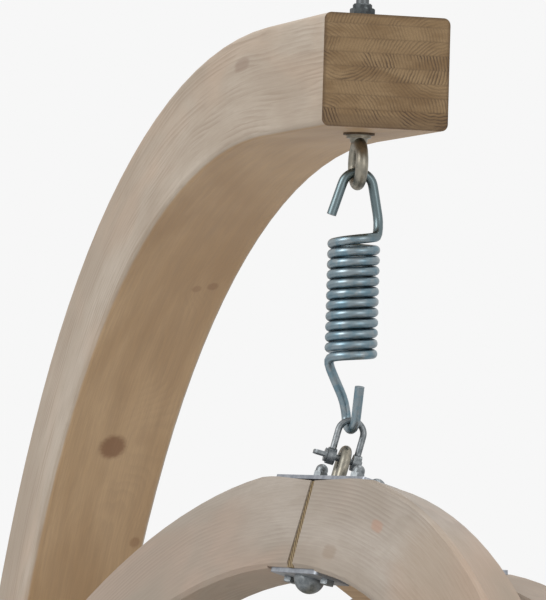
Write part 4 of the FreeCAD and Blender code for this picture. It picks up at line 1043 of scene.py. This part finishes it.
def dress_fittings():
    """Fasteners, plates and strips, the nylon ring, the glides and the packing."""
    zinc = metal("bright_zinc", (0.25, 0.265, 0.272), (0.145, 0.16, 0.168), rough=0.38, spots=300.0,
                 pitted=0.00006)
    plate = metal("galvanised_plate", (0.37, 0.388, 0.418), (0.255, 0.272, 0.305), rough=0.40, spots=120.0)
    satin = metal("satin_aluminium", (0.70, 0.70, 0.70), (0.58, 0.58, 0.59), rough=0.36, spots=200.0)
    dress(["shackle_bow", "shackle_pin", "crown_bolts", "crown_washers", "crown_cap_nuts", "crown_dome_nut",
           "crown_plate_screws", "splice_bolts", "splice_nuts", "foot_bolts", "foot_cap_nuts", "lap_bolt",
           "lap_washer", "lap_nut", "glide_screws", "spreader_screws", "strip_screws"], zinc)
    dress(["crown_top_plate", "crown_bottom_plate", "splice_plates", "foot_plate_left", "foot_plate_right"],
          plate)
    dress(["front_clamp_strip", "rear_clamp_strip"], satin)
    dress(["lock_nut_insert"], rubber("nylon_ring", srgb(214, 214, 208)))
    dress(["floor_glides", "centre_foot"], rubber("glide_rubber", srgb(38, 38, 38)))
    cord = twisted("packing_cord", srgb(154, 134, 100), srgb(98, 80, 52), period=0.0034, slant=0.9)
    dress(["crown_packing"], cord)


# ---------------------------------------------------------------- light, floor and backdrop
def make_world():
    """Soft cool light from all round, behind a plain pale backdrop that the camera and shiny metal see."""
    world = bpy.data.worlds.new("studio")
    world.use_nodes = True
    tree = world.node_tree
    tree.nodes.clear()
    out = tree.nodes.new("ShaderNodeOutputWorld")
    path = tree.nodes.new("ShaderNodeLightPath")
    choose = tree.nodes.new("ShaderNodeMixShader")
    looks = (((0.96, 0.98, 1.0, 1.0), AMBIENT), (srgb(247, 247, 247), 1.0))
    for index, (colour, strength) in enumerate(looks):
        backdrop = tree.nodes.new("ShaderNodeBackground")
        backdrop.inputs["Color"].default_value = colour
        backdrop.inputs["Strength"].default_value = strength
        tree.links.new(backdrop.outputs[0], choose.inputs[1 + index])
    direct = path.outputs["Is Camera Ray"]
    for kind in ("Is Glossy Ray", "Is Transmission Ray"):
        either = tree.nodes.new("ShaderNodeMath")
        either.operation = "MAXIMUM"
        tree.links.new(direct, either.inputs[0])
        tree.links.new(path.outputs[kind], either.inputs[1])
        direct = either.outputs[0]
    tree.links.new(direct, choose.inputs[0])
    tree.links.new(choose.outputs[0], out.inputs[0])
    bpy.context.scene.world = world


def make_floor():
    corners = [(x * FLOOR_HALF, y * FLOOR_HALF, -FLOOR_DROP) for x, y in ((-1, -1), (1, -1), (1, 1), (-1, 1))]
    mesh = bpy.data.meshes.new("floor")
    mesh.from_pydata(corners, [], [(0, 1, 2, 3)])
    floor = add_object("floor", mesh)
    pale = Graph("studio_floor")
    pale.set(colour=srgb(238, 238, 238), rough=0.85, specular=0.1)
    mesh.materials.append(pale.material)


def lamp(name, place, target, size, power):
    """A square lamp that faces its target."""
    data = bpy.data.lights.new(name, "AREA")
    data.size = size
    data.energy = power
    light = bpy.data.objects.new(name, data)
    light.location = place
    light.rotation_euler = (Vector(target) - Vector(place)).to_track_quat("-Z", "Y").to_euler()
    bpy.context.scene.collection.objects.link(light)


# ---------------------------------------------------------------- the scene
make_camera()
make_world()
make_floor()
lamp("key", (1.2, -4.4, 4.2), target=(0.0, 0.0, 1.6), size=2.6, power=125.0)
lamp("front", (4.6, 1.6, 2.6), target=(0.0, 0.0, 1.5), size=2.2, power=38.0)
lamp("top", (-0.5, 0.6, 5.0), target=(-0.2, 0.0, 1.4), size=2.4, power=60.0)
dress_stand()
dress_hoops()
dress_beech()
dress_hanging_gear()
dress_fittings()
canvas = woven("hammock_canvas", srgb(214, 204, 184), srgb(176, 164, 142), thread=0.0016)
cotton = woven("cushion_cotton", srgb(222, 214, 198), srgb(190, 180, 160), thread=0.0013, soft=0.8)
cord = woven("piping_cotton", srgb(196, 184, 162), srgb(160, 148, 126), thread=0.0013)
sling = make_sling(canvas)
back_cloth = make_back_cloth(canvas)
seat = stuffed("seat_cushion", "seat_pad", cotton, 0.010, 0.014, seat_rests, seat_valley)
back = stuffed("back_cushion", "back_pad", cotton, 0.008, 0.012, back_rests, back_valley)
piping("seat_piping", seat, seat_rim(), cord)
piping("back_piping", back, back_rim(), cord)

bpy.context.scene.view_settings.view_transform = "Standard"
